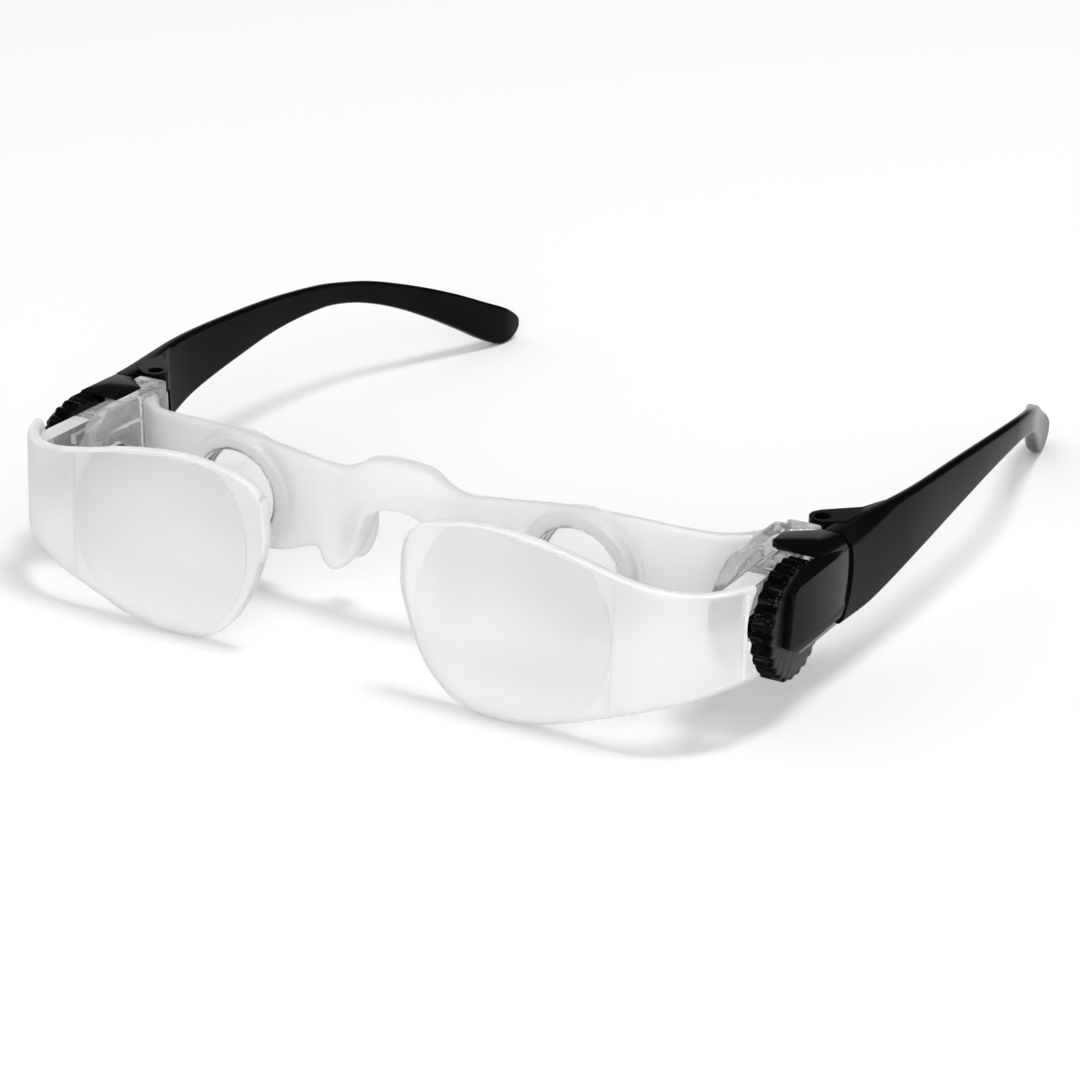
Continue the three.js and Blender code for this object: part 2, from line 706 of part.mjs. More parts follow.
// The end block inside the housing, and the hinge tongue behind it.
function hingeEnd() {
  const wingTopZ = housingTopZ - housingSkin - touch;
  const wingFootZ = housingFootZ + housingSkin + touch;
  const wing = block(
    endArmInnerX + endArmWall / 2, housingOuterX - housingWall - touch,
    wingRear - wingDepth, wingRear, wingFootZ, wingTopZ);
  const neck = block(
    hingeX - lugRadius + 2 * touch, wingInnerX, wingRear - wingDepth, hingeY,
    tongueFootZ, tongueTopZ);
  const capRear = hingeY - lugRadius - 2 * touch;
  const capPlan = [
    point(endArmInnerX + endArmWall / 2, capRear),
    point(endArmInnerX + endArmWall / 2, wingRear - wingDepth),
    point(endArmInnerX + endArmWall, wingRear - wingDepth + 2 * touch),
    point(wingInnerX, wingRear + 2 * touch), point(wingInnerX, capRear),
  ];
  const cap = alongZ(capPlan, tongueFootZ, housingTopZ);
  const tongue = rodZ(lugRadius - touch / 2, tongueFootZ, tongueTopZ, hingeX, hingeY, medium);
  return cut(
    join(wing, neck, cap, tongue),
    rodZ(hole(hingeScrewRadius, running, medium), 0, farAway, hingeX, hingeY, medium),
    rodY(hole(screwRadius, running, coarse), wingRear - screwLength, farAway,
      screwX, screwLowZ, coarse),
    rodY(hole(screwRadius, running, coarse), wingRear - screwLength, farAway,
      screwX, screwHighZ, coarse));
}

const mirrorSolid = (body) => solid(mirrored(geometryOf(body)));

function rearFrame() {
  const end = join(endArm(), hingeEnd());
  const body = join(
    framePlate(), eyeCollar(eyeX), eyeCollar(-eyeX), end, mirrorSolid(end),
    padPeg(1), padPeg(-1));
  return geometryOf(cut(body, eyeHollow(eyeX), eyeHollow(-eyeX)));
}

// Eyepiece lens, hollow on both faces, with a flange at its rear
function eyeLens() {
  const face = eyeBore - touch;
  const back = eyeWeb + eyeFlange;
  const profile = [
    ...domeProfile(eyeLensSag, face, eyeLensSag, 3),
    point(face, eyeWeb + touch), point(eyeLensRadius, eyeWeb + touch),
    point(eyeLensRadius, back), point(face, back),
    ...domeProfile(back - eyeLensSag, face, -eyeLensSag, 3).reverse().slice(1),
  ];
  const lens = new THREE.LatheGeometry(profile, fine);
  return geometryOf(solid(lens.translate(0, eyeWebFront, 0)));
}

function eyeRing() {
  const front = eyeSeatY + eyeFlange + touch;
  const ring = rodY(eyeLensRadius, front, front + eyeRingDepth, 0, 0, fine);
  return geometryOf(cut(
    ring, rodY(eyeLensRadius - eyeRingWall, 0, farAway, 0, 0, fine)));
}

// Nose pads: a soft lens-shaped lobe behind each leg of the bridge

const padTilt = Math.atan2(padFootX - padTopX, padTopZ - padFootZ);
const padLength = Math.hypot(padFootX - padTopX, padTopZ - padFootZ);

function padShape() {
  const pad = new THREE.SphereGeometry(1, 16, 10);
  pad.scale(padWidth / 2, padThickness / 2, padLength / 2);
  pad.rotateY(-padTilt);
  return pad.translate((padTopX + padFootX) / 2, padY, (padTopZ + padFootZ) / 2);
}

// The frame's peg that a pad is pushed on to.
function padPeg(side) {
  return rodY(
    padPegRadius, frameFrontY, padY, side * (padTopX + padFootX) / 2,
    (padTopZ + padFootZ) / 2, coarse);
}

function nosePad() {
  const socket = rodY(
    hole(padPegRadius, touch, coarse), 0, padY + touch, (padTopX + padFootX) / 2,
    (padTopZ + padFootZ) / 2, coarse);
  return geometryOf(cut(solid(padShape()), socket));
}

// Side housing

const seamCentreY = seamY - seamRadius;

// Outline in y and z; its rear follows the seam.
function housingOutline() {
  const outline = [
    point(housingFrontY, wheelZ - lipDrop),
    point(wheelY, housingFootZ),
  ];
  const low = Math.asin((housingFootZ - seamZ) / seamRadius);
  const high = Math.asin((housingTopZ - seamZ) / seamRadius);
  const steps = 12;
  for (let i = 0; i <= steps; i++) {
    const angle = low + (high - low) * i / steps;
    outline.push(point(
      seamCentreY + seamRadius * Math.cos(angle), seamZ + seamRadius * Math.sin(angle)));
  }
  outline.push(point(housingShoulderY, housingTopZ));
  outline.push(point(housingFrontY + housingSkin, wheelZ + lipRise));
  return outline;
}

function sideHousing() {
  const plateX = housingOuterX - housingWall;
  const innerX = endArmInnerX + endArmWall + touch;
  const lidFront = wheelY + Math.sqrt(
    (wheelRadius + lidRoom) ** 2 - (housingTopZ - lidEdge - wheelZ) ** 2);
  const rearX = wingInnerX + touch;
  const topPlan = [
    point(innerX, lidFront + 2 * housingSkin), point(armOuterX, lidFront),
    point(housingOuterX, lidFront), point(housingOuterX, farAway), point(rearX, farAway),
    point(rearX, wingRear + touch), point(innerX, wingRear - wingDepth + touch),
  ];
  const rearPlan = rectangle(rearX, wingRear + touch, housingOuterX, farAway);
  const solidSide = alongX(housingOutline(), innerX, housingOuterX);
  const keep = join(
    block(plateX, housingOuterX + overrun, 0, farAway, 0, farAway),
    alongZ(topPlan, housingTopZ - housingSkin, farAway),
    alongZ(rearPlan, 0, farAway),
    block(rearX, housingOuterX, wheelY + wheelRadius + touch, farAway,
      0, housingFootZ + housingSkin));
  const edge = [
    point(0, 0), point(housingOuterX - housingChamfer / 2, 0),
    point(housingOuterX, housingFootZ + housingChamfer), point(housingOuterX,
      housingTopZ - housingFacetDrop), point(housingOuterX - housingChamfer, housingTopZ),
    point(housingOuterX - housingChamfer, farAway), point(0, farAway),
  ];
  const lugRoom = rodZ(lugRadius + touch, 0, farAway, hingeX, hingeY, medium);
  const wheelHollow = rodX(wheelRadius + lidRoom, 0, plateX, wheelY, wheelZ, fine);
  const shell = solidSide.intersect(keep).intersect(alongY(edge, 0, farAway));
  const screwHoles = [screwLowZ, screwHighZ].map((z) => join(
    rodY(hole(screwRadius, running, coarse), wingRear, farAway, screwX, z, coarse),
    rodY(hole(screwHeadRadius, running, coarse), screwSeatY, farAway, screwX, z, coarse)));
  return geometryOf(cut(
    shell, lugRoom, wheelHollow, ...screwHoles,
    rodX(hole(axleRadius, running, medium), wheelInnerX, plateX + axleInHousing,
      wheelY, wheelZ, medium)));
}

const screwSeatY = wingRear + touch + screwHeadHeight;

// Screw through the housing's rear wall, head to the rear, drawn at x = z = 0.
function housingScrew() {
  const slotWidth = screwRadius / 2;
  const rear = screwSeatY + touch + screwHeadHeight;
  return geometryOf(cut(
    join(
      rodY(screwRadius, wingRear - screwLength + touch, screwSeatY + touch * 1.5, 0, 0, coarse),
      rodY(screwHeadRadius, screwSeatY + touch, rear, 0, 0, coarse)),
    block(-slotWidth / 2, slotWidth / 2, rear - screwHeadHeight / 2, farAway,
      -farAway, farAway)));
}

// Temples, drawn in place; their joint turns them about the hinge

function templeBlade() {
  const stations = 34;
  const startY = seamCentreY + seamRadius / 2;
  const rings = [];
  for (let i = 0; i <= stations; i++) {
    const share = Math.sin(i / stations * Math.PI / 2) ** 1.15;
    const width = templeWall
      + (templeFrontWall - templeWall) * smooth(templeWallShares, share);
    const outer = smooth(templeBowShares, share) * templeBowX;
    const place = point(outer - width / 2, startY + share * (templeTipY - startY));
    rings.push(uprightRing(
      place, point(1, 0), width, Math.max(smooth(templeFootShares, share), 0) * templeHeight,
      smooth(templeTopShares, share) * templeHeight, templeEdge, 1));
  }
  return loft(rings);
}

// The thick inner boss that carries the lugs, tapering back into the blade.
function templeBoss() {
  const steps = 8;
  const plan = [];
  for (let i = 0; i <= steps; i++) {
    const angle = Math.PI + Math.PI / 2 * i / steps;
    plan.push(point(
      hingeX + lugRadius * Math.cos(angle), hingeY + lugRadius * Math.sin(angle)));
  }
  const bladeX = housingOuterX - templeFrontWall / 2;
  plan.push(
    point(hingeX + lugRadius / 2, hingeY - lugRadius),
    point(bladeX, hingeY), point(bossTailX, bossTailY),
    point(bossWaistX, bossWaistY), point(bossHipX, bossHipY),
    point(hingeX - lugRadius, bossHeelY));
  const side = [
    point(0, hingeFootZ), point(bossHipY, hingeFootZ), point(bossTailY, bossTailFootZ),
    point(bossTailY, hingeTopZ - touch), point(bossHipY, hingeTopZ), point(0, hingeTopZ),
  ];
  return alongZ(plan, 0, farAway).intersect(alongX(side, 0, farAway));
}

function temple() {
  const tongueRoom = join(
    rodZ(lugRadius + touch, tongueFootZ - touch, tongueTopZ + touch, hingeX, hingeY, medium),
    block(0, wingInnerX + 2 * touch, 0, hingeY + lugRadius + touch,
      tongueFootZ - touch, tongueTopZ + touch));
  const seam = rodX(seamRadius + touch, 0, farAway, seamCentreY, seamZ, fine);
  const ahead = block(0, farAway, -overrun, seamCentreY + seamRadius / 2 + overrun, 0, farAway);
  const inside = block(0, housingOuterX - templeFrontWall, 0, hingeY - lugRadius, 0, farAway);
  return geometryOf(cut(
    join(cut(templeBlade(), inside), templeBoss()),
    seam, ahead, tongueRoom,
    rodZ(hole(hingeScrewRadius, running, medium), hingeFootZ + touch * 4, farAway,
      hingeX, hingeY, medium),
    rodZ(hole(hingeHeadRadius, running, medium),
      hingeTopZ - hingeHeadSunk - hingeHeadHeight - touch, farAway, hingeX, hingeY, medium)));
}

// Hinge screw, drawn about its own axis with z in place
function hingeScrew() {
  const top = hingeTopZ - hingeHeadSunk;
  const slotWidth = hingeScrewRadius / 2;
  return geometryOf(cut(
    join(
      rodZ(hingeScrewRadius, hingeFootZ + touch * 5, top - hingeHeadHeight + touch, 0, 0, medium),
      rodZ(hingeHeadRadius, top - hingeHeadHeight, top, 0, 0, medium)),
    block(-slotWidth / 2, slotWidth / 2, -farAway, farAway,
      top - hingeHeadHeight / 2, farAway)));
}

// Assembly

const glasses = new THREE.Group();

function add(name, geometry, material, x = 0, y = 0, z = 0) {
  const mesh = new THREE.Mesh(geometry, material);
  mesh.name = name;
  mesh.position.set(x, y, z);
  glasses.add(mesh);
}

function addPair(name, geometry, material, x = 0, y = 0, z = 0) {
  add(`${name}_left`, geometry, material(), x, y, z);
  add(`${name}_right`, mirrored(geometry), material(), -x, y, z);
}

add('rear_frame', rearFrame(), frosted());
addPair('nose_pad', nosePad(), softClear);
addPair('eyepiece_lens', eyeLens(), clearPlastic, eyeX, 0, eyeZ);
addPair('eyepiece_ring', eyeRing(), clearPlastic, eyeX, 0, eyeZ);
addPair('objective', objective(), frosted);
addPair('focus_wheel', focusWheel(), mattBlack, wheelInnerX, wheelY, wheelZ);
addPair('wheel_axle', wheelAxle(), steel, wheelInnerX, wheelY, wheelZ);
addPair('friction_washer', frictionWasher(), steel, wheelInnerX, wheelY, wheelZ);
addPair('side_housing', sideHousing(), glossBlack);
addPair('housing_screw_lower', housingScrew(), steel, screwX, 0, screwLowZ);
addPair('housing_screw_upper', housingScrew(), steel, screwX, 0, screwHighZ);
addPair('temple', temple(), satinBlack);
addPair('hinge_screw', hingeScrew(), steel, hingeX, hingeY, 0);

// The origin goes under the middle of the whole, on the table.
const extent = new THREE.Box3().setFromObject(glasses);
const middle = extent.getCenter(new THREE.Vector3());
glasses.position.set(-middle.x, -middle.y, -extent.min.z);

const part = new THREE.Group();
part.add(glasses);

export default part;
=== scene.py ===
import math

import bmesh
import bpy
from mathutils import Matrix, Vector


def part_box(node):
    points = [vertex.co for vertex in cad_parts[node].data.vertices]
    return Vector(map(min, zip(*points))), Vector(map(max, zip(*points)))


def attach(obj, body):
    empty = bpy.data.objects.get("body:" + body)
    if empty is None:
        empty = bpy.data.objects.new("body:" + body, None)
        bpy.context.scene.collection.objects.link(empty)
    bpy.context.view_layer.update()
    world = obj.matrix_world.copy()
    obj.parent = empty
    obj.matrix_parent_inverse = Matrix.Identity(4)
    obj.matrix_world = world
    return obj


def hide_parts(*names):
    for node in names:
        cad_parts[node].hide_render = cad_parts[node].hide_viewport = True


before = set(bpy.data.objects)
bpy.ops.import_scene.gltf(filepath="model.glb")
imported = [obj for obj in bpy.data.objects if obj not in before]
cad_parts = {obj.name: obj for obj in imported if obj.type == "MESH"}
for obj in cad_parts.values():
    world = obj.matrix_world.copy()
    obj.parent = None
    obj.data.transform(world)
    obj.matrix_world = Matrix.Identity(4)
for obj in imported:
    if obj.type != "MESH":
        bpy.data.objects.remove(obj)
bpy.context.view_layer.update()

print("frame loaded")

# Pieces are drawn in millimetres: x to the wearer's left, y back from the front of the
# carriers, z up from the table. toFrame takes them to the frame's metres.
millimetre = 0.001
farAway = 400.0  # past the end of any piece, for a cutter that takes all on one side
overrun = 1.0  # how far a cutter passes a face
samePoint = 1e-5  # corners closer than this are one
tipY = 178.0  # rearmost point of the temples in the drawing
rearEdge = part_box("temple_left")[1].y
toFrame = Matrix.Translation((0, rearEdge - tipY * millimetre, 0)) @ Matrix.Scale(millimetre, 4)
gap = dict(touch=0.3, running=0.08)  # between resting pieces, and round a pin that turns
facets = dict(screw=32, hinge=48, pin=64, eye=128, lens=144, wheel=160)  # round each circle
sides = (("left", 1), ("right", -1))


# Curves, sections and meshes

def smoothShare(table, share):
    # a soft curve through a table of shares
    i = 0
    while i < len(table) - 2 and share > table[i + 1][0]:
        i += 1
    start, end = table[i], table[i + 1]
    before, after = table[max(i - 1, 0)], table[min(i + 2, len(table) - 1)]
    span = end[0] - start[0]
    t = (share - start[0]) / span
    startSlope = (end[1] - before[1]) / (end[0] - before[0]) * span
    endSlope = (after[1] - start[1]) / (after[0] - start[0]) * span
    return ((2 * t**3 - 3 * t**2 + 1) * start[1] + (t**3 - 2 * t**2 + t) * startSlope
            + (3 * t**2 - 2 * t**3) * end[1] + (t**3 - t**2) * endSlope)


def footAndTop(piece, share):
    # heights of a piece's lower and upper edge at a share of its length
    return (max(smoothShare(piece["footShares"], share), 0) * piece["height"],
            smoothShare(piece["topShares"], share) * piece["height"])


def arc(u, v, radius, start, end, steps):
    # points on a circle from one angle to another
    turns = [start + (end - start) * i / steps for i in range(steps + 1)]
    return [(u + radius * math.cos(a), v + radius * math.sin(a)) for a in turns]


def dome(radius, rim, rise, steps):
    # points from the axis out to the rim of a shallow dome
    return [(radius * i / steps, rim - rise * (1 - (i / steps) ** 2)) for i in range(steps + 1)]


def roundedSection(width, height, radius, steps):
    # a rectangle with round corners about its middle
    points = []
    for corner, (u, v) in enumerate(((1, 1), (-1, 1), (-1, -1), (1, -1))):
        for step in range(steps + 1):
            angle = (corner + step / steps) * math.pi / 2
            points.append((u * (width / 2 - radius) + radius * math.cos(angle),
                           v * (height / 2 - radius) + radius * math.sin(angle)))
    return points


def uprightRing(spot, across, width, foot, top, radius, steps, inset=0.0):
    # a rounded section that stands across the direction of travel
    nearlyHalf, leastRadius = 0.49, 0.01
    width, foot, top = width - 2 * inset, foot + inset, top - inset
    radius = max(min(radius - inset, width * nearlyHalf, (top - foot) * nearlyHalf), leastRadius)
    middle = (foot + top) / 2
    return [Vector((spot[0] + across[0] * u, spot[1] + across[1] * u, middle + v))
            for u, v in roundedSection(width, top - foot, radius, steps)]


def endInset(radius, fromEnd):
    # how far a section draws in where a piece rounds off at its end
    depth = max(radius - fromEnd, 0)
    return radius - math.sqrt(max(radius ** 2 - depth ** 2, 0))


def loft(ringAt, stations, spread=1.0):
    # a grid bent round the rings and closed at both ends
    bm = bmesh.new()
    rings = [ringAt((i / stations) ** spread) for i in range(stations + 1)]
    around = len(rings[0])
    bmesh.ops.create_grid(bm, x_segments=stations, y_segments=around, size=0.5)
    for v in bm.verts:
        i = round((v.co.x + 0.5) * stations)
        j = round((v.co.y + 0.5) * around) % around
        v.co = rings[i][j]
    bmesh.ops.remove_doubles(bm, verts=bm.verts, dist=samePoint)
    rim = [e for e in bm.edges if e.is_boundary]
    bmesh.ops.holes_fill(bm, edges=rim, sides=0)
    bmesh.ops.recalc_face_normals(bm, faces=bm.faces)
    return bm


axes = {
    "x": Matrix(((0, 0, 1), (1, 0, 0), (0, 1, 0))).to_4x4(),  # outline in y and z
    "y": Matrix(((1, 0, 0), (0, 0, 1), (0, 1, 0))).to_4x4(),  # outline in x and z
    "z": Matrix.Identity(4),  # outline in x and y
}


def prism(outline, axis, start, end, softened=0.0):
    # an outline drawn out along an axis; softened rounds the edges of its two ends
    bm = bmesh.new()
    base = bm.faces.new([bm.verts.new((u, v, start)) for u, v in outline])
    lifted = bmesh.ops.extrude_face_region(bm, geom=[base])["geom"]
    top = [v for v in lifted if isinstance(v, bmesh.types.BMVert)]
    bmesh.ops.translate(bm, verts=top, vec=(0, 0, end - start))
    bmesh.ops.recalc_face_normals(bm, faces=bm.faces)
    if softened:
        ends = [e for e in bm.edges if abs(e.verts[0].co.z - e.verts[1].co.z) < samePoint]
        bmesh.ops.bevel(bm, geom=ends, offset=softened, segments=3, profile=0.5,
                        affect="EDGES", material=-1, clamp_overlap=True)
    bmesh.ops.transform(bm, matrix=axes[axis], verts=bm.verts)
    bmesh.ops.recalc_face_normals(bm, faces=bm.faces)
    return bm


def block(x0, x1, y0, y1, z0, z1):
    return prism([(x0, y0), (x1, y0), (x1, y1), (x0, y1)], "z", z0, z1)


def rod(radius, axis, start, end, u, v, steps=facets["pin"]):
    return prism(arc(u, v, radius, 0, 2 * math.pi, steps)[:-1], axis, start, end)


def lathe(profile, centre, steps):
    # a profile of (radius, depth) spun about an axis along y through centre
    bm = bmesh.new()
    verts = [bm.verts.new((r, d, 0)) for r, d in profile]
    edges = [bm.edges.new(pair) for pair in zip(verts, verts[1:])]
    if profile[0] != profile[-1] and profile[0][0] > 0:
        edges.append(bm.edges.new((verts[-1], verts[0])))
    bmesh.ops.spin(bm, geom=verts + edges, cent=(0, 0, 0), axis=(0, 1, 0),
                   angle=2 * math.pi, steps=steps, use_merge=True)
    bmesh.ops.remove_doubles(bm, verts=bm.verts, dist=samePoint)
    bmesh.ops.recalc_face_normals(bm, faces=bm.faces)
    bmesh.ops.translate(bm, verts=bm.verts, vec=centre)
    return bm


def mirrored(bm):
    twin = bm.copy()
    bmesh.ops.scale(twin, vec=(-1, 1, 1), verts=twin.verts)
    bmesh.ops.recalc_face_normals(twin, faces=twin.faces)
    return twin


def objectOf(bm, name="tool"):
    mesh = bpy.data.meshes.new(name)
    bm.to_mesh(mesh)
    bm.free()
    thing = bpy.data.objects.new(name, mesh)
    bpy.context.scene.collection.objects.link(thing)
    return thing


def bake(thing):
    # the modifiers' result becomes the mesh
    bpy.context.view_layer.update()
    shown = thing.evaluated_get(bpy.context.evaluated_depsgraph_get())
    mesh = bpy.data.meshes.new_from_object(shown)
    thing.modifiers.clear()
    thing.data = mesh
    return thing


def carve(thing, operation, *tools):
    # joins or cuts closed shapes one after another
    for bm in tools:
        tool = objectOf(bm)
        modifier = thing.modifiers.new("carve", "BOOLEAN")
        modifier.operation = operation
        modifier.solver = "EXACT"
        modifier.object = tool
        bake(thing)
        bpy.data.objects.remove(tool)
    return thing


def joinShapes(first, *others):
    return carve(objectOf(first), "UNION", *others)


def meshOf(thing):
    bm = bmesh.new()
    bm.from_mesh(thing.data)
    bpy.data.objects.remove(thing)
    return bm


def soften(thing, voxel, passes):
    # one moulded skin over shapes that run into each other
    skin = thing.modifiers.new("skin", "REMESH")
    skin.mode = "VOXEL"
    skin.voxel_size = voxel
    skin.adaptivity = 0.0
    relax = thing.modifiers.new("relax", "SMOOTH")
    relax.factor = 0.5
    relax.iterations = passes
    return bake(thing)


def finishPiece(thing, name, finishes, body, node, sharpAngle):
    thing.name = name
    thing.data.name = name
    thing.data.transform(toFrame)
    chosen = [face.material_index for face in thing.data.polygons]
    thing.data.materials.clear()
    for finish in finishes:
        thing.data.materials.append(materials[finish])
    for face, index in zip(thing.data.polygons, chosen):
        face.material_index = index
        face.use_smooth = True
    thing.data.set_sharp_from_angle(angle=math.radians(sharpAngle))
    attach(thing, body)
    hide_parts(node)
    print("made", name, len(thing.data.polygons), "faces")


def finishPair(shape, name, finishes, body, node, sharpAngle=35, choose=None):
    # the left piece as drawn and its mirror image on the right; choose picks a face's finish
    for face in shape.faces:
        face.material_index = choose(face) if choose else 0
    for side, sign in sides:
        twin = shape.copy() if sign > 0 else mirrored(shape)
        finishPiece(objectOf(twin), f"{name}_{side}", finishes,
                    body if body == "root" else f"{body}_{side}", f"{node}_{side}",
                    sharpAngle)
    shape.free()


# Surface effects shared by the materials

def setInputs(node, values):
    for label, value in values.items():
        node.inputs[label].default_value = value


def wire(tree, *links):
    # each link is a node, its output, the next node and its input
    for source, output, target, entry in links:
        tree.links.new(source.outputs[output], target.inputs[entry])


def noise(tree, detail, roughness=0.55, distortion=0.0):
    node = tree.nodes.new("ShaderNodeTexNoise")
    setInputs(node, {"Detail": detail, "Roughness": roughness, "Distortion": distortion})
    return node


def ramp(tree, low, high, outLow=0.0, outHigh=1.0, interpolation="SMOOTHSTEP"):
    node = tree.nodes.new("ShaderNodeMapRange")
    node.interpolation_type = interpolation
    setInputs(node, {"From Min": low, "From Max": high, "To Min": outLow, "To Max": outHigh})
    return node


def mathNode(tree, operation, second=0.0):
    node = tree.nodes.new("ShaderNodeMath")
    node.operation = operation
    node.inputs[1].default_value = second
    return node


def vectorNode(tree, operation):
    node = tree.nodes.new("ShaderNodeVectorMath")
    node.operation = operation
    return node


def nodeGroup(name, *outputs):
    # a group of its own, with the scale of its pattern as the one input
    tree = bpy.data.node_groups.new(name, "ShaderNodeTree")
    for label, inOut in [("Scale", "INPUT")] + [(label, "OUTPUT") for label in outputs]:
        tree.interface.new_socket(name=label, in_out=inOut, socket_type="NodeSocketFloat")
    return [tree] + [tree.nodes.new(kind) for kind in (
        "NodeGroupInput", "NodeGroupOutput", "ShaderNodeTexCoord")]


def buildGrain():
    # the fine even skin of moulded plastic
    tree, given, result, coords = nodeGroup("mouldGrain", "Height")
    fine = noise(tree, detail=2.0)
    wire(tree, (coords, "Object", fine, "Vector"), (given, "Scale", fine, "Scale"),
         (fine, "Fac", result, "Height"))
    return tree


def buildHandling():
    # soft patches where fingers have touched a surface
    tree, given, result, coords = nodeGroup("handling", "Mask")
    patches = noise(tree, detail=5.0, roughness=0.6, distortion=0.6)
    shape = ramp(tree, 0.4, 0.72)
    wire(tree, (coords, "Object", patches, "Vector"), (given, "Scale", patches, "Scale"),
         (patches, "Fac", shape, "Value"), (shape, "Result", result, "Mask"))
    return tree


def buildStreaks():
    # irregular streaks across the tread, along the wheel's axle, and a mask of their shine
    tree, given, result, coords = nodeGroup("treadStreaks", "Height", "Mask")
    stretch = vectorNode(tree, "MULTIPLY")
    stretch.inputs[1].default_value = (260.0, 1500.0, 1500.0)
    coarse = noise(tree, detail=5.0, roughness=0.65, distortion=0.8)
    height = ramp(tree, 0.38, 0.66)
    shine = ramp(tree, 0.5, 0.68)
    wire(tree, (coords, "Object", stretch, 0), (stretch, "Vector", coarse, "Vector"),
         (given, "Scale", coarse, "Scale"),
         (coarse, "Fac", height, "Value"), (height, "Result", result, "Height"),
         (coarse, "Fac", shine, "Value"), (shine, "Result", result, "Mask"))
    return tree


grainGroup = buildGrain()
handlingGroup = buildHandling()
streakGroup = buildStreaks()


def groupNode(tree, group, scale):
    node = tree.nodes.new("ShaderNodeGroup")
    node.node_tree = group
    setInputs(node, {"Scale": scale})
    return node


def newMaterial(name):
    material = bpy.data.materials.new(name)
    material.use_nodes = True
    tree = material.node_tree
    return material, tree, tree.nodes["Principled BSDF"]


def moulded(name, look):
    # plastic or steel with grain, faint handling marks and small differences of tone
    material, tree, shader = newMaterial(name)
    grain = groupNode(tree, look["pattern"], look["grainScale"])
    handling = groupNode(tree, handlingGroup, look["patchScale"])
    bump = tree.nodes.new("ShaderNodeBump")
    setInputs(bump, {"Strength": look["grainStrength"], "Distance": look["grainDepth"]})
    rough = ramp(tree, 0.0, 1.0, look["rough"], look["roughTouched"], "LINEAR")
    colour = tree.nodes.new("ShaderNodeMix")
    colour.data_type = "RGBA"
    setInputs(colour, {"A": look["colour"], "B": look["touched"]})
    wire(tree, (grain, "Height", bump, "Height"), (bump, "Normal", shader, "Normal"),
         (handling, "Mask", rough, "Value"), (rough, "Result", shader, "Roughness"),
         (handling, "Mask", colour, "Factor"), (colour, "Result", shader, "Base Color"))
    setInputs(shader, {"IOR": look["ior"], "Specular IOR Level": look["specular"],
                       "Transmission Weight": look["clear"], "Metallic": look["metal"],
                       "Coat Roughness": look["coatRough"]})
    if look["pattern"] is streakGroup:  # the coat lies on the streaks alone
        shine = mathNode(tree, "MULTIPLY", look["coat"])
        wire(tree, (grain, "Mask", shine, 0), (shine, 0, shader, "Coat Weight"))
    else:
        setInputs(shader, {"Coat Weight": look["coat"]})
    return material


def grey(value, blue=0.0):
    return (value, value, value + blue, 1)


# what a look has unless it says otherwise
plainLook = dict(ior=1.5, specular=0.5, clear=0.0, metal=0.0, coat=0.0, coatRough=0.03,
                 grainScale=3000.0, grainStrength=0.1, grainDepth=0.00003, patchScale=120.0,
                 pattern=grainGroup)
looks = dict(
    frosted=dict(
        colour=grey(0.992, 0.002), touched=grey(0.984, 0.002), rough=0.34, roughTouched=0.3,
        clear=0.6, ior=1.46, grainScale=5200.0, grainStrength=0.12, grainDepth=0.00004,
        patchScale=45.0),
    frameFrost=dict(
        colour=grey(0.994, 0.002), touched=grey(0.988, 0.002), rough=0.42, roughTouched=0.38,
        clear=0.5, ior=1.46, grainScale=5200.0, grainDepth=0.00004, patchScale=45.0),
    polishedRim=dict(
        colour=grey(0.98), touched=grey(0.96), rough=0.14, roughTouched=0.2, clear=0.35,
        ior=1.46, grainScale=2500.0, grainStrength=0.03, patchScale=60.0),
    lensMilky=dict(
        colour=grey(0.994, 0.002), touched=grey(0.985, 0.002), rough=0.36, roughTouched=0.31,
        clear=0.74, coat=0.6, ior=1.49, grainScale=900.0, grainStrength=0.004,
        grainDepth=0.00002, patchScale=40.0),
    lensClear=dict(
        colour=grey(0.985), touched=grey(0.975), rough=0.12, roughTouched=0.16, clear=0.86,
        ior=1.49, grainScale=900.0, grainStrength=0.004, grainDepth=0.00002, patchScale=70.0),
    clearMoulding=dict(
        colour=grey(0.985), touched=grey(0.95), rough=0.07, roughTouched=0.16, clear=0.82,
        ior=1.49, grainScale=380.0, grainStrength=0.6, grainDepth=0.0003, patchScale=160.0),
    softClear=dict(
        colour=grey(0.99), touched=grey(0.97), rough=0.4, roughTouched=0.34, clear=0.5,
        ior=1.41, grainDepth=0.00004, patchScale=90.0),
    # painted reflection: the eyepiece ring's bore is painted near-black so a dark crescent shows
    # through the lens
    paintedReflectionBore=dict(
        colour=grey(0.02), touched=grey(0.03), rough=0.3, roughTouched=0.4, specular=0.2,
        grainScale=2400.0),
    glossBlack=dict(
        colour=grey(0.003, 0.0005), touched=grey(0.005, 0.0005), rough=0.09,
        roughTouched=0.13, specular=0.055, grainScale=1600.0, grainStrength=0.02,
        grainDepth=0.00002, patchScale=55.0),
    templeBlack=dict(
        colour=grey(0.003, 0.0005), touched=grey(0.006, 0.0005), rough=0.2,
        roughTouched=0.27, specular=0.04, grainScale=3200.0, grainStrength=0.05,
        grainDepth=0.00002, patchScale=35.0),
    wheelBlack=dict(
        colour=grey(0.001), touched=grey(0.003), rough=0.16, roughTouched=0.3,
        specular=0.03, coat=0.9, coatRough=0.12, pattern=streakGroup, grainScale=1.0,
        grainStrength=0.85, grainDepth=0.00025, patchScale=400.0),
    wheelFlank=dict(
        colour=grey(0.006), touched=grey(0.01), rough=0.34, roughTouched=0.42,
        specular=0.15, grainStrength=0.08),
    darkSteel=dict(
        colour=grey(0.1, 0.005), touched=grey(0.06, 0.002), rough=0.3, roughTouched=0.42,
        metal=1.0, patchScale=300.0),
    steel=dict(
        colour=grey(0.55, 0.02), touched=grey(0.45, 0.02), rough=0.26, roughTouched=0.36,
        metal=1.0, patchScale=300.0))
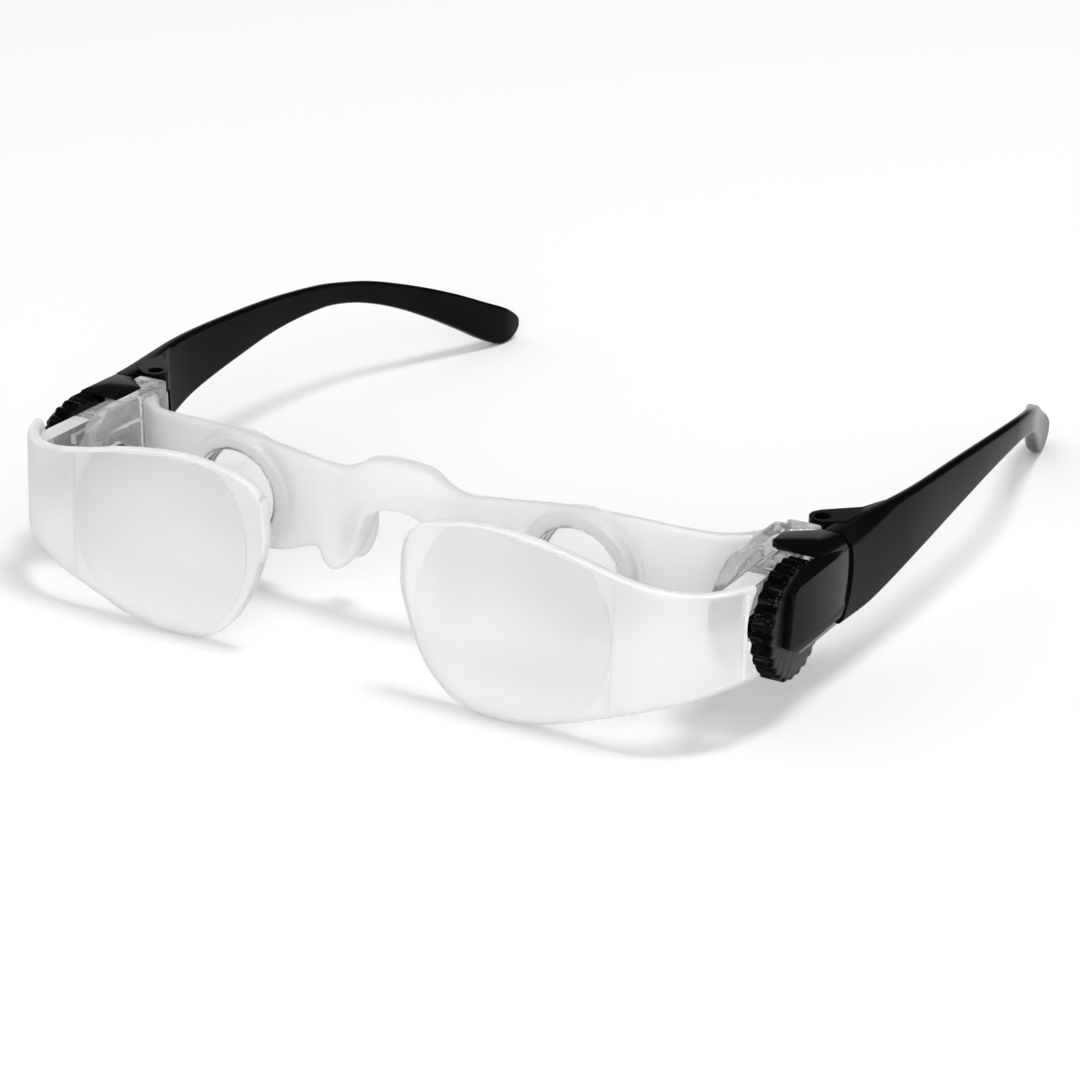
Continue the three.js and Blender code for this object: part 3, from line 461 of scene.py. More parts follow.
materials = {name: moulded(name, {**plainLook, **look}) for name, look in looks.items()}
print("materials ready")


# Front carriers: wall, lens and toothed arm in one moulding

wheel = dict(y=26.6, z=18.8, innerX=76.1, width=4.1, radius=10.95, scallops=26, scallopDepth=0.6,
             ribs=130, ribDepth=0.05, ribSteps=5, softEdge=0.35, softShare=0.3, bevel=0.9,
             bevelLead=0.3, bevelTurns=(0.15, 0.5, 0.9, 1.25, 1.5), teeth=14, module=0.6,
             backlash=0.3, addendum=0.55, dedendum=0.72, journal=3.3, axle=1.0, axleDepth=6.0,
             recess=0.7, recessRadius=3.5, flankFacing=0.75)
endArm = dict(innerX=67.6, wall=3.3, nose=11.2, noseSteps=48, footZ=12.4, rear=41.6, edge=0.5,
              wingDepth=3.6, screwBite=3.0)
rack = dict(innerX=71.7, outerX=75.7, topZ=28.1, edge=0.5, guideDepth=1.2, guideHeight=1.8,
            guideZ=25.9, addendum=0.45, travel=7.0, pressureAngle=20, frontTeeth=1.5,
            scores=(22.6, 23.9, 25.2), scoreWidth=0.5, scoreDepth=0.35)
carrier = dict(
    nasalX=14.5, cornerX=59.6, cornerRadius=20.0, turn=78, height=35.4, wall=2.6, edge=1.1,
    lean=0.07, capRound=0.9, capSpan=70, stations=150, spread=1.5, cornerSteps=5,
    frontSteps=60, lensX=38.0, lensZ=19.3, lensRadius=19.8, lensStep=0.15, lensBackStep=0.02,
    lensInset=0.6, lensSteps=28, frontSag=1.3, backSag=0.8, wheelRoom=4.0, endRise=3.2,
    cutLead=0.01,
    topShares=[(0, 0.72), (0.006, 0.8), (0.02, 0.873), (0.055, 0.93), (0.13, 0.972),
               (0.22, 0.998), (0.31, 0.998), (0.4, 0.98), (0.49, 0.952), (0.57, 0.915),
               (0.65, 0.888), (0.74, 0.862), (0.83, 0.846), (0.92, 0.848), (1, 0.85)],
    footShares=[(0, 0.61), (0.008, 0.551), (0.038, 0.373), (0.078, 0.215), (0.123, 0.113),
                (0.168, 0.05), (0.24, 0.008), (0.33, 0), (0.43, 0.035), (0.52, 0.091),
                (0.61, 0.16), (0.72, 0.24), (0.83, 0.305), (0.92, 0.34), (1, 0.356)])
# where each finish of a carrier ends, and how far its faces may turn
carrierMarks = dict(slack=0.05, lensFacing=0.9, lensBack=5.5, armSlack=0.1, armFrontY=19.0,
                    armFootZ=21.5, edgeFacing=0.55, nasalWidth=1.0, nasalFacing=0.5)

toothPitch = math.pi * wheel["module"]
pitchRadius = wheel["module"] * wheel["teeth"] / 2
halfTooth = toothPitch / 4 - wheel["backlash"] / 4
rackRear = wheel["y"] + rack["travel"] + toothPitch
armRear = rackRear + gap["touch"]
wallRadius = carrier["cornerRadius"] - carrier["wall"] / 2
straightLength = carrier["cornerX"] - carrier["nasalX"]
wallLength = straightLength + wallRadius * math.radians(carrier["turn"])


def carrierPlan(share):
    # place and crosswise direction in plan along the wall
    c = carrier
    along = share * wallLength
    if along <= straightLength:
        return (c["nasalX"] + along, c["wall"] / 2), (0, -1)
    angle = (along - straightLength) / wallRadius - math.pi / 2
    across = (math.cos(angle), math.sin(angle))
    return (c["cornerX"] + wallRadius * across[0], c["cornerRadius"] + wallRadius * across[1]), across


def carrierWall():
    c = carrier

    def ring(share):
        spot, across = carrierPlan(share)
        inset = endInset(c["capRound"], min(share, 1 - share) * c["capSpan"])
        return uprightRing(spot, across, c["wall"], *footAndTop(c, share), c["edge"],
                           c["cornerSteps"], inset)
    return loft(ring, c["stations"], c["spread"])


def carrierFront():
    # the straight part's outline, drawn in by the inset
    c = carrier
    lower, upper = [], []
    for i in range(c["frontSteps"] + 1):
        share = (i / c["frontSteps"]) ** c["spread"] * (straightLength / wallLength)
        x = carrierPlan(share)[0][0]
        foot, top = footAndTop(c, share)
        lower.append((x, foot + c["lensInset"]))
        upper.append((x, top - c["lensInset"]))
    return lower + upper[::-1]


def carrierLens():
    c = carrier
    front = dome(c["lensRadius"], -c["lensStep"], c["frontSag"], c["lensSteps"])
    back = dome(c["lensRadius"] - c["lensStep"], c["wall"] + c["lensBackStep"], -c["backSag"],
                c["lensSteps"])
    disc = lathe(front + back[::-1], (c["lensX"], 0, c["lensZ"]), facets["lens"])
    return carve(objectOf(disc), "INTERSECT", prism(carrierFront(), "y", -farAway, farAway))


def rackArm():
    # a bar from the wall back past the wheel, with teeth below and a guide rib inside
    w, r, c = wheel, rack, carrier
    pitchZ = w["z"] + pitchRadius
    tipZ, rootZ = pitchZ - r["addendum"], pitchZ + w["dedendum"]
    slope = math.tan(math.radians(r["pressureAngle"]))
    tip, root = halfTooth - r["addendum"] * slope, halfTooth + w["dedendum"] * slope
    front = w["y"] - toothPitch * r["frontTeeth"]
    outline = [(armRear + overrun, w["z"]), (front, w["z"]), (front, rootZ)]
    first = math.ceil((front - w["y"]) / toothPitch)
    last = math.floor((rackRear - w["y"]) / toothPitch)
    for i in range(first, last):
        middle = w["y"] + (i + 0.5) * toothPitch
        outline += [(middle - root, rootZ), (middle - tip, tipZ),
                    (middle + tip, tipZ), (middle + root, rootZ)]
    outline.append((armRear + overrun, rootZ))

    def onWall(x):
        return x, c["cornerRadius"] - math.sqrt(wallRadius**2 - (x - c["cornerX"])**2)
    plan = [(r["innerX"], armRear), onWall(r["innerX"]),
            onWall((r["innerX"] + r["outerX"]) / 2), onWall(r["outerX"]), (r["outerX"], armRear)]
    past = r["innerX"] - overrun, r["outerX"] + overrun
    bar = objectOf(prism(plan, "z", tipZ, r["topZ"], r["edge"]))
    carve(bar, "DIFFERENCE", prism(outline, "x", *past),
          *[block(*past, y, y + r["scoreWidth"], r["topZ"] - r["scoreDepth"], farAway)
            for y in r["scores"]])
    rib = block(r["innerX"] - r["guideDepth"], r["innerX"] + gap["touch"], front - r["travel"],
                armRear, r["guideZ"] - r["guideHeight"] / 2, r["guideZ"] + r["guideHeight"] / 2)
    return carve(bar, "UNION", rib)


def frontCarrier():
    c, w = carrier, wheel
    body = objectOf(carrierWall())
    carve(body, "UNION", meshOf(carrierLens()))
    body.data.transform(Matrix(((1, 0, 0, 0), (0, 1, c["lean"], -c["lean"] * c["lensZ"]),
                                (0, 0, 1, 0), (0, 0, 0, 1))))  # the top leans back
    carve(body, "DIFFERENCE",
          rod(w["radius"] + c["wheelRoom"], "x", rack["outerX"] + c["cutLead"], farAway,
              w["y"], w["z"] + c["endRise"], facets["wheel"]))
    return meshOf(carve(body, "UNION", meshOf(rackArm())))


def carrierFinish(face):
    # 1 for the lens, 3 for the toothed arm, 2 for edges and cuts, and 0 for the wall
    c, m = carrier, carrierMarks
    spot, facing = face.calc_center_median(), face.normal
    fromLens = math.hypot(spot.x - c["lensX"], spot.z - c["lensZ"])
    fromCut = math.hypot(spot.y - wheel["y"], spot.z - wheel["z"] - c["endRise"])
    if (abs(facing.y) > m["lensFacing"] and fromLens < c["lensRadius"] + m["slack"]
            and spot.y < m["lensBack"]):
        return 1
    if (spot.x < rack["outerX"] + m["armSlack"] and spot.y > m["armFrontY"]
            and spot.z > m["armFootZ"]):
        return 3
    isEdge = abs(facing.z) > m["edgeFacing"]
    isNasalEnd = spot.x < c["nasalX"] + m["nasalWidth"] and abs(facing.x) > m["nasalFacing"]
    isCut = spot.x > rack["outerX"] and fromCut < wheel["radius"] + c["wheelRoom"] + m["slack"]
    return 2 if isEdge or isNasalEnd or isCut else 0


finishPair(frontCarrier(), "frontCarrier", ["frosted", "lensMilky", "polishedRim", "clearMoulding"],
           "front", "objective", sharpAngle=28, choose=carrierFinish)
print("front carriers done")


# Rear frame: plate, eyepiece collars, end arms and hinge knuckles in one clear moulding

hinge = dict(x=74.3, y=47.5, lug=2.4, lugHeight=4.2, lugSteps=24, topZ=30.1, footZ=13.25,
             screw=1.0, head=1.5, headHeight=1.0, sunk=1.5, wingOut=1.6)
housing = dict(outerX=81.7, wall=1.2, skin=1.3, topZ=29.8, footZ=12.8, lipReach=6.2,
               lipDrop=2.6, lipRise=7.2, shoulderBack=2.4, facetWide=1.4, facetTall=3.0,
               footFacet=0.8, edge=0.22, edgeAngle=25, seamRadius=13.5, seamY=44.7, seamZ=22.3,
               seamSteps=40, screw=0.8, screwHead=1.45, screwHeadHeight=0.6, screwX=78.35,
               screwZ=(18.6, 26.0), axleDepth=0.8, lidEdge=0.4, lidRoom=0.6)
wingInnerX = hinge["x"] + hinge["wingOut"]
tongueFootZ = hinge["footZ"] + hinge["lugHeight"] + gap["touch"]
tongueTopZ = hinge["topZ"] - hinge["lugHeight"] - gap["touch"]
rearFrame = dict(
    reach=70.9, frontY=24.2, height=33.5, plate=2.4, bridge=6.4, end=3.2, edge=0.8,
    bridgeEdge=2.6, stations=240, cornerSteps=4, nudge=0.018, voxel=0.36, relax=4,
    clearLead=0.6,
    sweepShares=[(0, 0), (0.14, 0), (0.28, 0.012), (0.42, 0.035), (0.56, 0.075), (0.68, 0.13),
                 (0.78, 0.22), (0.86, 0.37), (0.925, 0.6), (0.97, 0.81), (1, 1)],
    topShares=[(0, 1), (0.045, 0.998), (0.09, 0.98), (0.135, 0.925), (0.185, 0.888),
               (0.3, 0.905), (0.42, 0.935), (0.54, 0.95), (0.68, 0.945), (0.8, 0.918),
               (0.9, 0.884), (1, 0.874)],
    footShares=[(0, 0.7), (0.05, 0.69), (0.085, 0.655), (0.103, 0.6), (0.117, 0.505),
                (0.141, 0.392), (0.175, 0.3), (0.205, 0.256), (0.228, 0.252), (0.247, 0.29),
                (0.262, 0.36), (0.3, 0.35), (0.38, 0.29), (0.46, 0.264), (0.54, 0.264),
                (0.62, 0.285), (0.73, 0.33), (0.85, 0.375), (1, 0.4)],
    bridgeShares=[(0, 1), (0.09, 0.95), (0.15, 0.6), (0.22, 0.2), (0.3, 0), (1, 0)],
    endShares=[(0, 0), (0.88, 0), (0.92, 0.5), (0.96, 1), (1, 1)])
eyepiece = dict(x=37.4, z=19.5, bore=9.2, lens=10.3, sag=0.75, sagSteps=20, webFront=22.9,
                web=1.4, flange=1.0, collarWall=1.0, collarRear=28.6, ringDepth=2.4,
                ringWall=1.2, ringEdge=0.25, ringStep=(0.5, 0.55), boreSlack=0.3,
                boreFacing=0.5)
pads = dict(topX=9.8, topZ=22.0, footX=14.4, footZ=9.6, y=28.6, width=6.6, thickness=3.4,
            taper=0.1, waist=0.85, peg=1.2)
padMiddle = ((pads["topX"] + pads["footX"]) / 2, pads["y"], (pads["topZ"] + pads["footZ"]) / 2)


def framePlate():
    f = rearFrame
    sweep = endArm["rear"] - f["frontY"]

    def at(share):
        return Vector((share * f["reach"],
                       f["frontY"] + smoothShare(f["sweepShares"], abs(share)) * sweep))

    def ring(station):
        share = 2 * station - 1
        reach = abs(share)
        ahead, behind = at(min(share + f["nudge"], 1)), at(max(share - f["nudge"], -1))
        along = (ahead - behind).normalized()
        bridge = smoothShare(f["bridgeShares"], reach)
        width = (f["plate"] + (f["bridge"] - f["plate"]) * bridge
                 + (f["end"] - f["plate"]) * smoothShare(f["endShares"], reach))
        return uprightRing(at(share), (along.y, -along.x), width, *footAndTop(f, reach),
                           f["edge"] + (f["bridgeEdge"] - f["edge"]) * bridge,
                           f["cornerSteps"])
    return loft(ring, f["stations"])


def endArmShape():
    # the clear arm beside the wheel with its round nose, and the knuckle behind it
    w, e, h, touch = wheel, endArm, housing, gap["touch"]
    noseEnd = math.pi - math.asin((e["footZ"] - w["z"]) / e["nose"])
    outline = arc(w["y"], w["z"], e["nose"], math.pi / 2, noseEnd, e["noseSteps"])
    outline += [(e["rear"], e["footZ"]), (e["rear"], w["z"] + e["nose"])]
    outerX = e["innerX"] + e["wall"]
    arm = prism(outline, "x", e["innerX"], outerX, e["edge"])
    halfX = e["innerX"] + e["wall"] / 2
    front = e["rear"] - e["wingDepth"]
    wing = block(halfX, h["outerX"] - h["wall"] - touch, front, e["rear"],
                 h["footZ"] + h["skin"] + touch, h["topZ"] - h["skin"] - touch)
    neck = block(hinge["x"] - hinge["lug"] + 2 * touch, wingInnerX, front, hinge["y"],
                 tongueFootZ, tongueTopZ)
    capRear = hinge["y"] - hinge["lug"] - 2 * touch
    cap = prism([(halfX, capRear), (halfX, front), (outerX, front + 2 * touch),
                 (wingInnerX, e["rear"] + 2 * touch), (wingInnerX, capRear)],
                "z", tongueFootZ, h["topZ"])
    tongue = rod(hinge["lug"] - touch / 2, "z", tongueFootZ, tongueTopZ, hinge["x"], hinge["y"])
    groove = rack["guideHeight"] / 2 + touch
    thing = joinShapes(arm, wing, neck, cap, tongue)
    carve(thing, "DIFFERENCE",
          rod(w["journal"] + gap["running"], "x", 0, farAway, w["y"], w["z"]),
          block(rack["innerX"] - rack["guideDepth"] - touch, outerX + overrun, 0,
                armRear + touch, rack["guideZ"] - groove, rack["guideZ"] + groove),
          rod(hinge["screw"] + gap["running"], "z", 0, farAway, hinge["x"], hinge["y"]),
          *[rod(h["screw"] + gap["running"], "y", e["rear"] - e["screwBite"], farAway,
                h["screwX"], z, facets["screw"]) for z in h["screwZ"]])
    return meshOf(thing)


def rearFrameMoulding():
    f, e = rearFrame, eyepiece
    body = objectOf(framePlate())
    inner = e["lens"] + gap["touch"]
    end = endArmShape()

    def eyeRod(radius, start, stop, sign):
        return rod(radius, "y", start, stop, sign * e["x"], e["z"], facets["eye"])
    collars = [eyeRod(inner + e["collarWall"], e["webFront"], e["collarRear"], sign)
               for _, sign in sides]
    pegs = [rod(pads["peg"], "y", f["frontY"], pads["y"], sign * padMiddle[0], padMiddle[2])
            for _, sign in sides]
    carve(body, "UNION", *collars, mirrored(end), end, *pegs)
    for _, sign in sides:
        carve(body, "DIFFERENCE", eyeRod(inner, e["webFront"] + e["web"], farAway, sign),
              eyeRod(e["bore"], 0, farAway, sign))
    soften(body, f["voxel"], f["relax"])
    clearFrom = endArm["innerX"] - f["clearLead"]
    for face in body.data.polygons:
        face.material_index = 1 if abs(face.center[0]) > clearFrom else 0
    return body


finishPiece(rearFrameMoulding(), "rearFrameMoulding", ["frameFrost", "clearMoulding"], "root",
            "rear_frame", sharpAngle=50)


def eyepieceLens():
    e, touch = eyepiece, gap["touch"]
    face, back = e["bore"] - touch, e["web"] + e["flange"]
    front = dome(face, 0, -e["sag"], e["sagSteps"])
    rear = dome(face, back, e["sag"], e["sagSteps"])
    rim = [(face, e["web"] + touch), (e["lens"], e["web"] + touch), (e["lens"], back)]
    return lathe(front + rim + rear[::-1], (e["x"], e["webFront"], e["z"]), facets["eye"])


def eyepieceRing():
    # a stepped retaining ring with softened corners
    e = eyepiece
    start = e["web"] + e["flange"] + gap["touch"]
    outer, inner, end = e["lens"], e["lens"] - e["ringWall"], start + e["ringDepth"]
    soft = e["ringEdge"]
    stepFoot, stepTop = [start + e["ringDepth"] * share for share in e["ringStep"]]
    profile = [(inner, start), (outer - soft, start), (outer, start + soft), (outer, end - soft),
               (outer - soft, end), (inner + soft, end), (inner, end - soft), (inner, stepTop),
               (inner + soft, stepFoot), (inner + soft, start + soft)]
    return lathe(profile, (e["x"], e["webFront"], e["z"]), facets["eye"])


def ringFinish(face):
    # the ring's bore is painted dark, a painted reflection that shows as a dark crescent through the
    # lens
    e, middle = eyepiece, face.calc_center_median()
    reach = math.hypot(middle.x - e["x"], middle.z - e["z"])
    isBore = reach < e["lens"] - e["ringWall"] + e["boreSlack"]
    return 1 if isBore and abs(face.normal.y) < e["boreFacing"] else 0


def nosePad():
    # a soft lobe, flatter in front, with a socket for the frame's peg
    p, touch = pads, gap["touch"]
    length = math.hypot(p["footX"] - p["topX"], p["topZ"] - p["footZ"])
    tilt = math.atan2(p["footX"] - p["topX"], p["topZ"] - p["footZ"])
    bm = bmesh.new()
    bmesh.ops.create_icosphere(bm, subdivisions=5, radius=1.0)
    for v in bm.verts:
        v.co.x *= 1 - p["taper"] * v.co.z
        v.co.y *= p["waist"] + (1 - p["waist"]) * v.co.z ** 2
    bmesh.ops.scale(bm, vec=(p["width"] / 2, p["thickness"] / 2, length / 2), verts=bm.verts)
    bmesh.ops.rotate(bm, cent=(0, 0, 0), matrix=Matrix.Rotation(-tilt, 3, "Y"), verts=bm.verts)
    bmesh.ops.translate(bm, vec=padMiddle, verts=bm.verts)
    return meshOf(carve(objectOf(bm), "DIFFERENCE",
                        rod(p["peg"] + touch, "y", 0, p["y"] + touch, padMiddle[0], padMiddle[2])))


finishPair(eyepieceLens(), "eyepieceLens", ["lensClear"], "root", "eyepiece_lens")
# the ring's bore takes the painted dark reflection
finishPair(eyepieceRing(), "eyepieceRing", ["lensMilky", "paintedReflectionBore"], "root", "eyepiece_ring",
           choose=ringFinish)
finishPair(nosePad(), "nosePad", ["softClear"], "root", "nose_pad")
print("rear frame done")


# Focus wheels, with scallops, fine ribs and a pinion that meets the rack

def wheelRing(x, inset):
    w = wheel
    steps = w["ribs"] * w["ribSteps"]
    points = []
    for i in range(steps):
        angle = 2 * math.pi * i / steps
        wave = 0.5 - 0.5 * math.cos(w["scallops"] * angle)
        rib = 0.5 - 0.5 * math.cos(w["ribs"] * angle)
        r = w["radius"] - inset - w["scallopDepth"] * wave - w["ribDepth"] * rib
        points.append(Vector((x, w["y"] + r * math.cos(angle), w["z"] + r * math.sin(angle))))
    return points


def wheelRim():
    # a softened inner edge, the tread, and a round bevel on the outer edge
    w = wheel
    outer, soft, share = w["innerX"] + w["width"], w["softEdge"], w["softShare"]
    stations = [(w["innerX"], soft), (w["innerX"] + soft * share, soft * share),
                (w["innerX"] + soft, 0), (outer - w["bevel"] - w["bevelLead"], 0)]
    stations += [(outer - w["bevel"] * (1 - math.sin(a)), w["bevel"] * (1 - math.cos(a)))
                 for a in w["bevelTurns"]]
    last = len(stations) - 1
    return loft(lambda t: wheelRing(*stations[round(t * last)]), last)


def pinionOutline():
    # each flank follows the involute of the base circle
    w = wheel
    base = pitchRadius * math.cos(math.radians(rack["pressureAngle"]))
    tip = pitchRadius + w["addendum"]

    def involute(r):
        angle = math.acos(min(base / r, 1))
        return math.tan(angle) - angle
    half = halfTooth / pitchRadius
    radii = [pitchRadius - w["dedendum"], base, (base + tip) / 2, tip]
    flank = [(r, half + involute(pitchRadius) - involute(r)) for r in radii]
    outline = []
    for tooth in range(w["teeth"]):
        middle = math.pi / 2 + 2 * math.pi * tooth / w["teeth"]
        for r, a in [(r, -a) for r, a in flank] + flank[::-1]:
            outline.append((w["y"] + r * math.cos(middle + a), w["z"] + r * math.sin(middle + a)))
    return outline


def focusWheel():
    w, touch = wheel, gap["touch"]
    outer = w["innerX"] + w["width"]
    pinionStart = rack["innerX"] - touch / 2
    thing = joinShapes(
        wheelRim(), prism(pinionOutline(), "x", pinionStart, w["innerX"] + touch),
        rod(w["journal"], "x", endArm["innerX"], pinionStart + touch, w["y"], w["z"]))
    carve(thing, "DIFFERENCE",
          rod(w["axle"] + gap["running"], "x", outer - w["axleDepth"], farAway, w["y"], w["z"]),
          rod(w["recessRadius"], "x", outer - w["recess"], farAway, w["y"], w["z"]))
    return meshOf(thing)


def wheelFinish(face):
    # the tread and pinion are streaked, the flat sides smooth
    return 1 if abs(face.normal.x) > wheel["flankFacing"] else 0


finishPair(focusWheel(), "focusWheel", ["wheelBlack", "wheelFlank"], "wheel", "focus_wheel",
           sharpAngle=40, choose=wheelFinish)
print("focus wheels done")


# Side housings: glossy covers over the wheels, cut back at the rear by a round seam

def housingOutline():
    w, h = wheel, housing
    frontY = w["y"] - h["lipReach"]
    low, high = [math.asin((z - h["seamZ"]) / h["seamRadius"]) for z in (h["footZ"], h["topZ"])]
    return ([(frontY, w["z"] - h["lipDrop"]), (w["y"], h["footZ"])]
            + arc(h["seamY"] - h["seamRadius"], h["seamZ"], h["seamRadius"], low, high,
                  h["seamSteps"])
            + [(w["y"] + h["shoulderBack"], h["topZ"]),
               (frontY + h["skin"], w["z"] + h["lipRise"])])


def sideHousing():
    w, h, e = wheel, housing, endArm
    plateX, touch, running = h["outerX"] - h["wall"], gap["touch"], gap["running"]
    innerX = e["innerX"] + e["wall"] + touch
    roof = h["topZ"] - h["skin"]
    hollow = w["radius"] + h["lidRoom"]
    lidFront = w["y"] + math.sqrt(hollow ** 2 - (h["topZ"] - h["lidEdge"] - w["z"]) ** 2)
    rearX, wallY = wingInnerX + touch, e["rear"] + touch
    lid = prism([(innerX, lidFront + 2 * h["skin"]), (rack["outerX"], lidFront),
                 (h["outerX"], lidFront), (h["outerX"], farAway), (rearX, farAway),
                 (rearX, wallY), (innerX, e["rear"] - e["wingDepth"] + touch)],
                "z", roof, farAway)
    keep = joinShapes(
        block(plateX, h["outerX"] + overrun, 0, farAway, 0, farAway), lid,
        block(rearX, h["outerX"], wallY, farAway, 0, farAway),
        block(rearX, h["outerX"], w["y"] + w["radius"] + touch, farAway, 0,
              h["footZ"] + h["skin"]))
    footX, topX = h["outerX"] - h["footFacet"], h["outerX"] - h["facetWide"]
    edge = [(0, 0), (footX, 0), (footX, h["footZ"]),
            (h["outerX"], h["footZ"] + 2 * h["footFacet"]),
            (h["outerX"], h["topZ"] - h["facetTall"]), (topX, h["topZ"]), (topX, farAway),
            (0, farAway)]
    thing = objectOf(prism(housingOutline(), "x", innerX, h["outerX"]))
    carve(thing, "INTERSECT", meshOf(keep), prism(edge, "y", 0, farAway))
    seatY = wallY + h["screwHeadHeight"]
    carve(thing, "DIFFERENCE",
          rod(hinge["lug"] + touch, "z", 0, farAway, hinge["x"], hinge["y"]),
          rod(hollow, "x", 0, plateX, w["y"], w["z"], facets["wheel"]),
          rod(w["axle"] + running, "x", w["innerX"], plateX + h["axleDepth"], w["y"], w["z"],
              facets["screw"]),
          *[rod(radius + running, "y", start, farAway, h["screwX"], z, facets["screw"])
            for radius, start in ((h["screw"], e["rear"]), (h["screwHead"], seatY))
            for z in h["screwZ"]])
    shape = thing.modifiers.new("edges", "BEVEL")
    shape.width = h["edge"]
    shape.segments = 3
    shape.limit_method = "ANGLE"
    shape.angle_limit = math.radians(h["edgeAngle"])
    shape.use_clamp_overlap = True
    shape.harden_normals = False
    return meshOf(bake(thing))


finishPair(sideHousing(), "sideHousing", ["glossBlack"], "root", "side_housing",
           sharpAngle=32)
print("side housings done")


# Temples: a blade that swells to a paddle, and a boss with the hinge's lugs

temple = dict(
    height=30.1, frontWall=5.2, wall=2.2, edge=0.9, bowX=84.3, stations=170, crowding=1.15,
    cornerSteps=5, tipRound=0.8, bossTail=16.2, bossWaist=7.9, bossHip=2.6, bossHeel=1.0, hipIn=1.4,
    waistOut=4.3, tailOut=7.3, tailRise=3.7, facetEnd=64.0,
    # how far each point of the upper outer corner lies in and down where it is a facet
    facetCorner=[(0, 3.3), (0.02, 2.95), (0.2, 2.55), (1.2, 0.45), (1.38, 0.05), (1.7, 0)],
    topShares=[(0, 0.99), (0.143, 1), (0.229, 1), (0.343, 0.982), (0.457, 0.95), (0.572, 0.895),
               (0.629, 0.85), (0.686, 0.793), (0.743, 0.712), (0.8, 0.618), (0.857, 0.508),
               (0.914, 0.384), (0.957, 0.292), (0.986, 0.213), (1, 0.156)],
    footShares=[(0, 0.427), (0.086, 0.43), (0.143, 0.472), (0.229, 0.558), (0.343, 0.64),
                (0.457, 0.704), (0.572, 0.715), (0.629, 0.684), (0.686, 0.614), (0.743, 0.51),
                (0.8, 0.375), (0.857, 0.222), (0.914, 0.065), (0.95, 0), (0.985, 0.03),
                (1, 0.09)],
    bowShares=[(0, 0.969), (0.06, 0.974), (0.143, 0.985), (0.229, 0.996), (0.343, 1),
               (0.457, 1), (0.572, 0.99), (0.629, 0.977), (0.686, 0.958), (0.743, 0.931),
               (0.8, 0.9), (0.857, 0.869), (0.914, 0.84), (0.957, 0.822), (1, 0.808)],
    wallShares=[(0, 1), (0.07, 1), (0.12, 0.55), (0.17, 0.2), (0.24, 0.03), (0.4, 0), (0.68, 0),
                (0.82, 0.3), (0.95, 0.3), (1, -0.1)])


def faceted(points, outer, top, y):
    # the facet of the housing runs on along the upper outer edge and fades out
    t = temple
    fade = min(max((t["facetEnd"] - y) / (t["facetEnd"] - housing["seamY"]), 0), 1)
    fade = fade * fade * (3 - 2 * fade)
    for i, (inward, down) in enumerate(t["facetCorner"]):
        points[i] = points[i].lerp(Vector((outer - inward, y, top - down)), fade)
    return points


def templeBlade():
    t, h = temple, housing
    startY = h["seamY"] - h["seamRadius"] / 2
    length = tipY - startY

    def ring(station):
        # the stations crowd together towards the tip
        share = math.sin(station * math.pi / 2) ** t["crowding"]
        y = startY + share * length
        width = t["wall"] + (t["frontWall"] - t["wall"]) * smoothShare(t["wallShares"], share)
        outer = smoothShare(t["bowShares"], share) * t["bowX"]
        foot, top = footAndTop(t, share)
        points = uprightRing((outer - width / 2, y), (1, 0), width, foot, top, t["edge"],
                             t["cornerSteps"], endInset(t["tipRound"], (1 - share) * length))
        return faceted(points, outer, top, y)
    return loft(ring, t["stations"])


def templeBoss():
    t, g = temple, hinge
    hip, tail = g["y"] + t["bossHip"], g["y"] + t["bossTail"]
    plan = arc(g["x"], g["y"], g["lug"], math.pi, math.pi * 1.5, g["lugSteps"])
    plan += [(g["x"] + g["lug"] / 2, g["y"] - g["lug"]),
             (housing["outerX"] - t["frontWall"] / 2, g["y"]), (g["x"] + t["tailOut"], tail),
             (g["x"] + t["waistOut"], g["y"] + t["bossWaist"]), (g["x"] - t["hipIn"], hip),
             (g["x"] - g["lug"], g["y"] + t["bossHeel"])]
    profile = [(0, g["footZ"]), (hip, g["footZ"]), (tail, g["footZ"] + t["tailRise"]),
               (tail, g["topZ"] - gap["touch"]), (hip, g["topZ"]), (0, g["topZ"])]
    boss = objectOf(prism(plan, "z", 0, farAway))
    carve(boss, "INTERSECT", prism(profile, "x", 0, farAway))
    return meshOf(boss)


def templeShape():
    t, g, h, touch = temple, hinge, housing, gap["touch"]
    seamCentre = h["seamY"] - h["seamRadius"]
    blade = objectOf(templeBlade())
    carve(blade, "DIFFERENCE",
          block(0, h["outerX"] - t["frontWall"], 0, g["y"] - g["lug"], 0, farAway))
    carve(blade, "UNION", templeBoss())
    slotFoot, slotTop = tongueFootZ - touch, tongueTopZ + touch
    carve(blade, "DIFFERENCE",
          rod(h["seamRadius"] + touch, "x", 0, farAway, seamCentre, h["seamZ"], facets["wheel"]),
          block(0, farAway, -overrun, seamCentre + h["seamRadius"] / 2 + overrun, 0, farAway),
          rod(g["lug"] + touch, "z", slotFoot, slotTop, g["x"], g["y"]),
          block(0, wingInnerX + 2 * touch, 0, g["y"] + g["lug"] + touch, slotFoot, slotTop),
          rod(g["screw"] + gap["running"], "z", g["footZ"] + touch * 4, farAway, g["x"], g["y"],
              facets["hinge"]),
          rod(g["head"] + gap["running"], "z", g["topZ"] - g["sunk"] - g["headHeight"] - touch,
              farAway, g["x"], g["y"], facets["hinge"]))
    return meshOf(blade)


finishPair(templeShape(), "temple", ["templeBlack"], "side_arm", "temple",
           sharpAngle=38)
print("temples done")


# Turned steel parts keep the frame's shapes and take a metal finish

metalNodes = dict(wheel_axle="steel", friction_washer="steel", housing_screw_lower="darkSteel",
                  housing_screw_upper="darkSteel", hinge_screw="darkSteel")
for node, finish in metalNodes.items():
    for side, _ in sides:
        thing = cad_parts[f"{node}_{side}"]
        for slot in thing.material_slots:
            slot.material = materials[finish]
print("steel parts done")


# Floor, light and camera

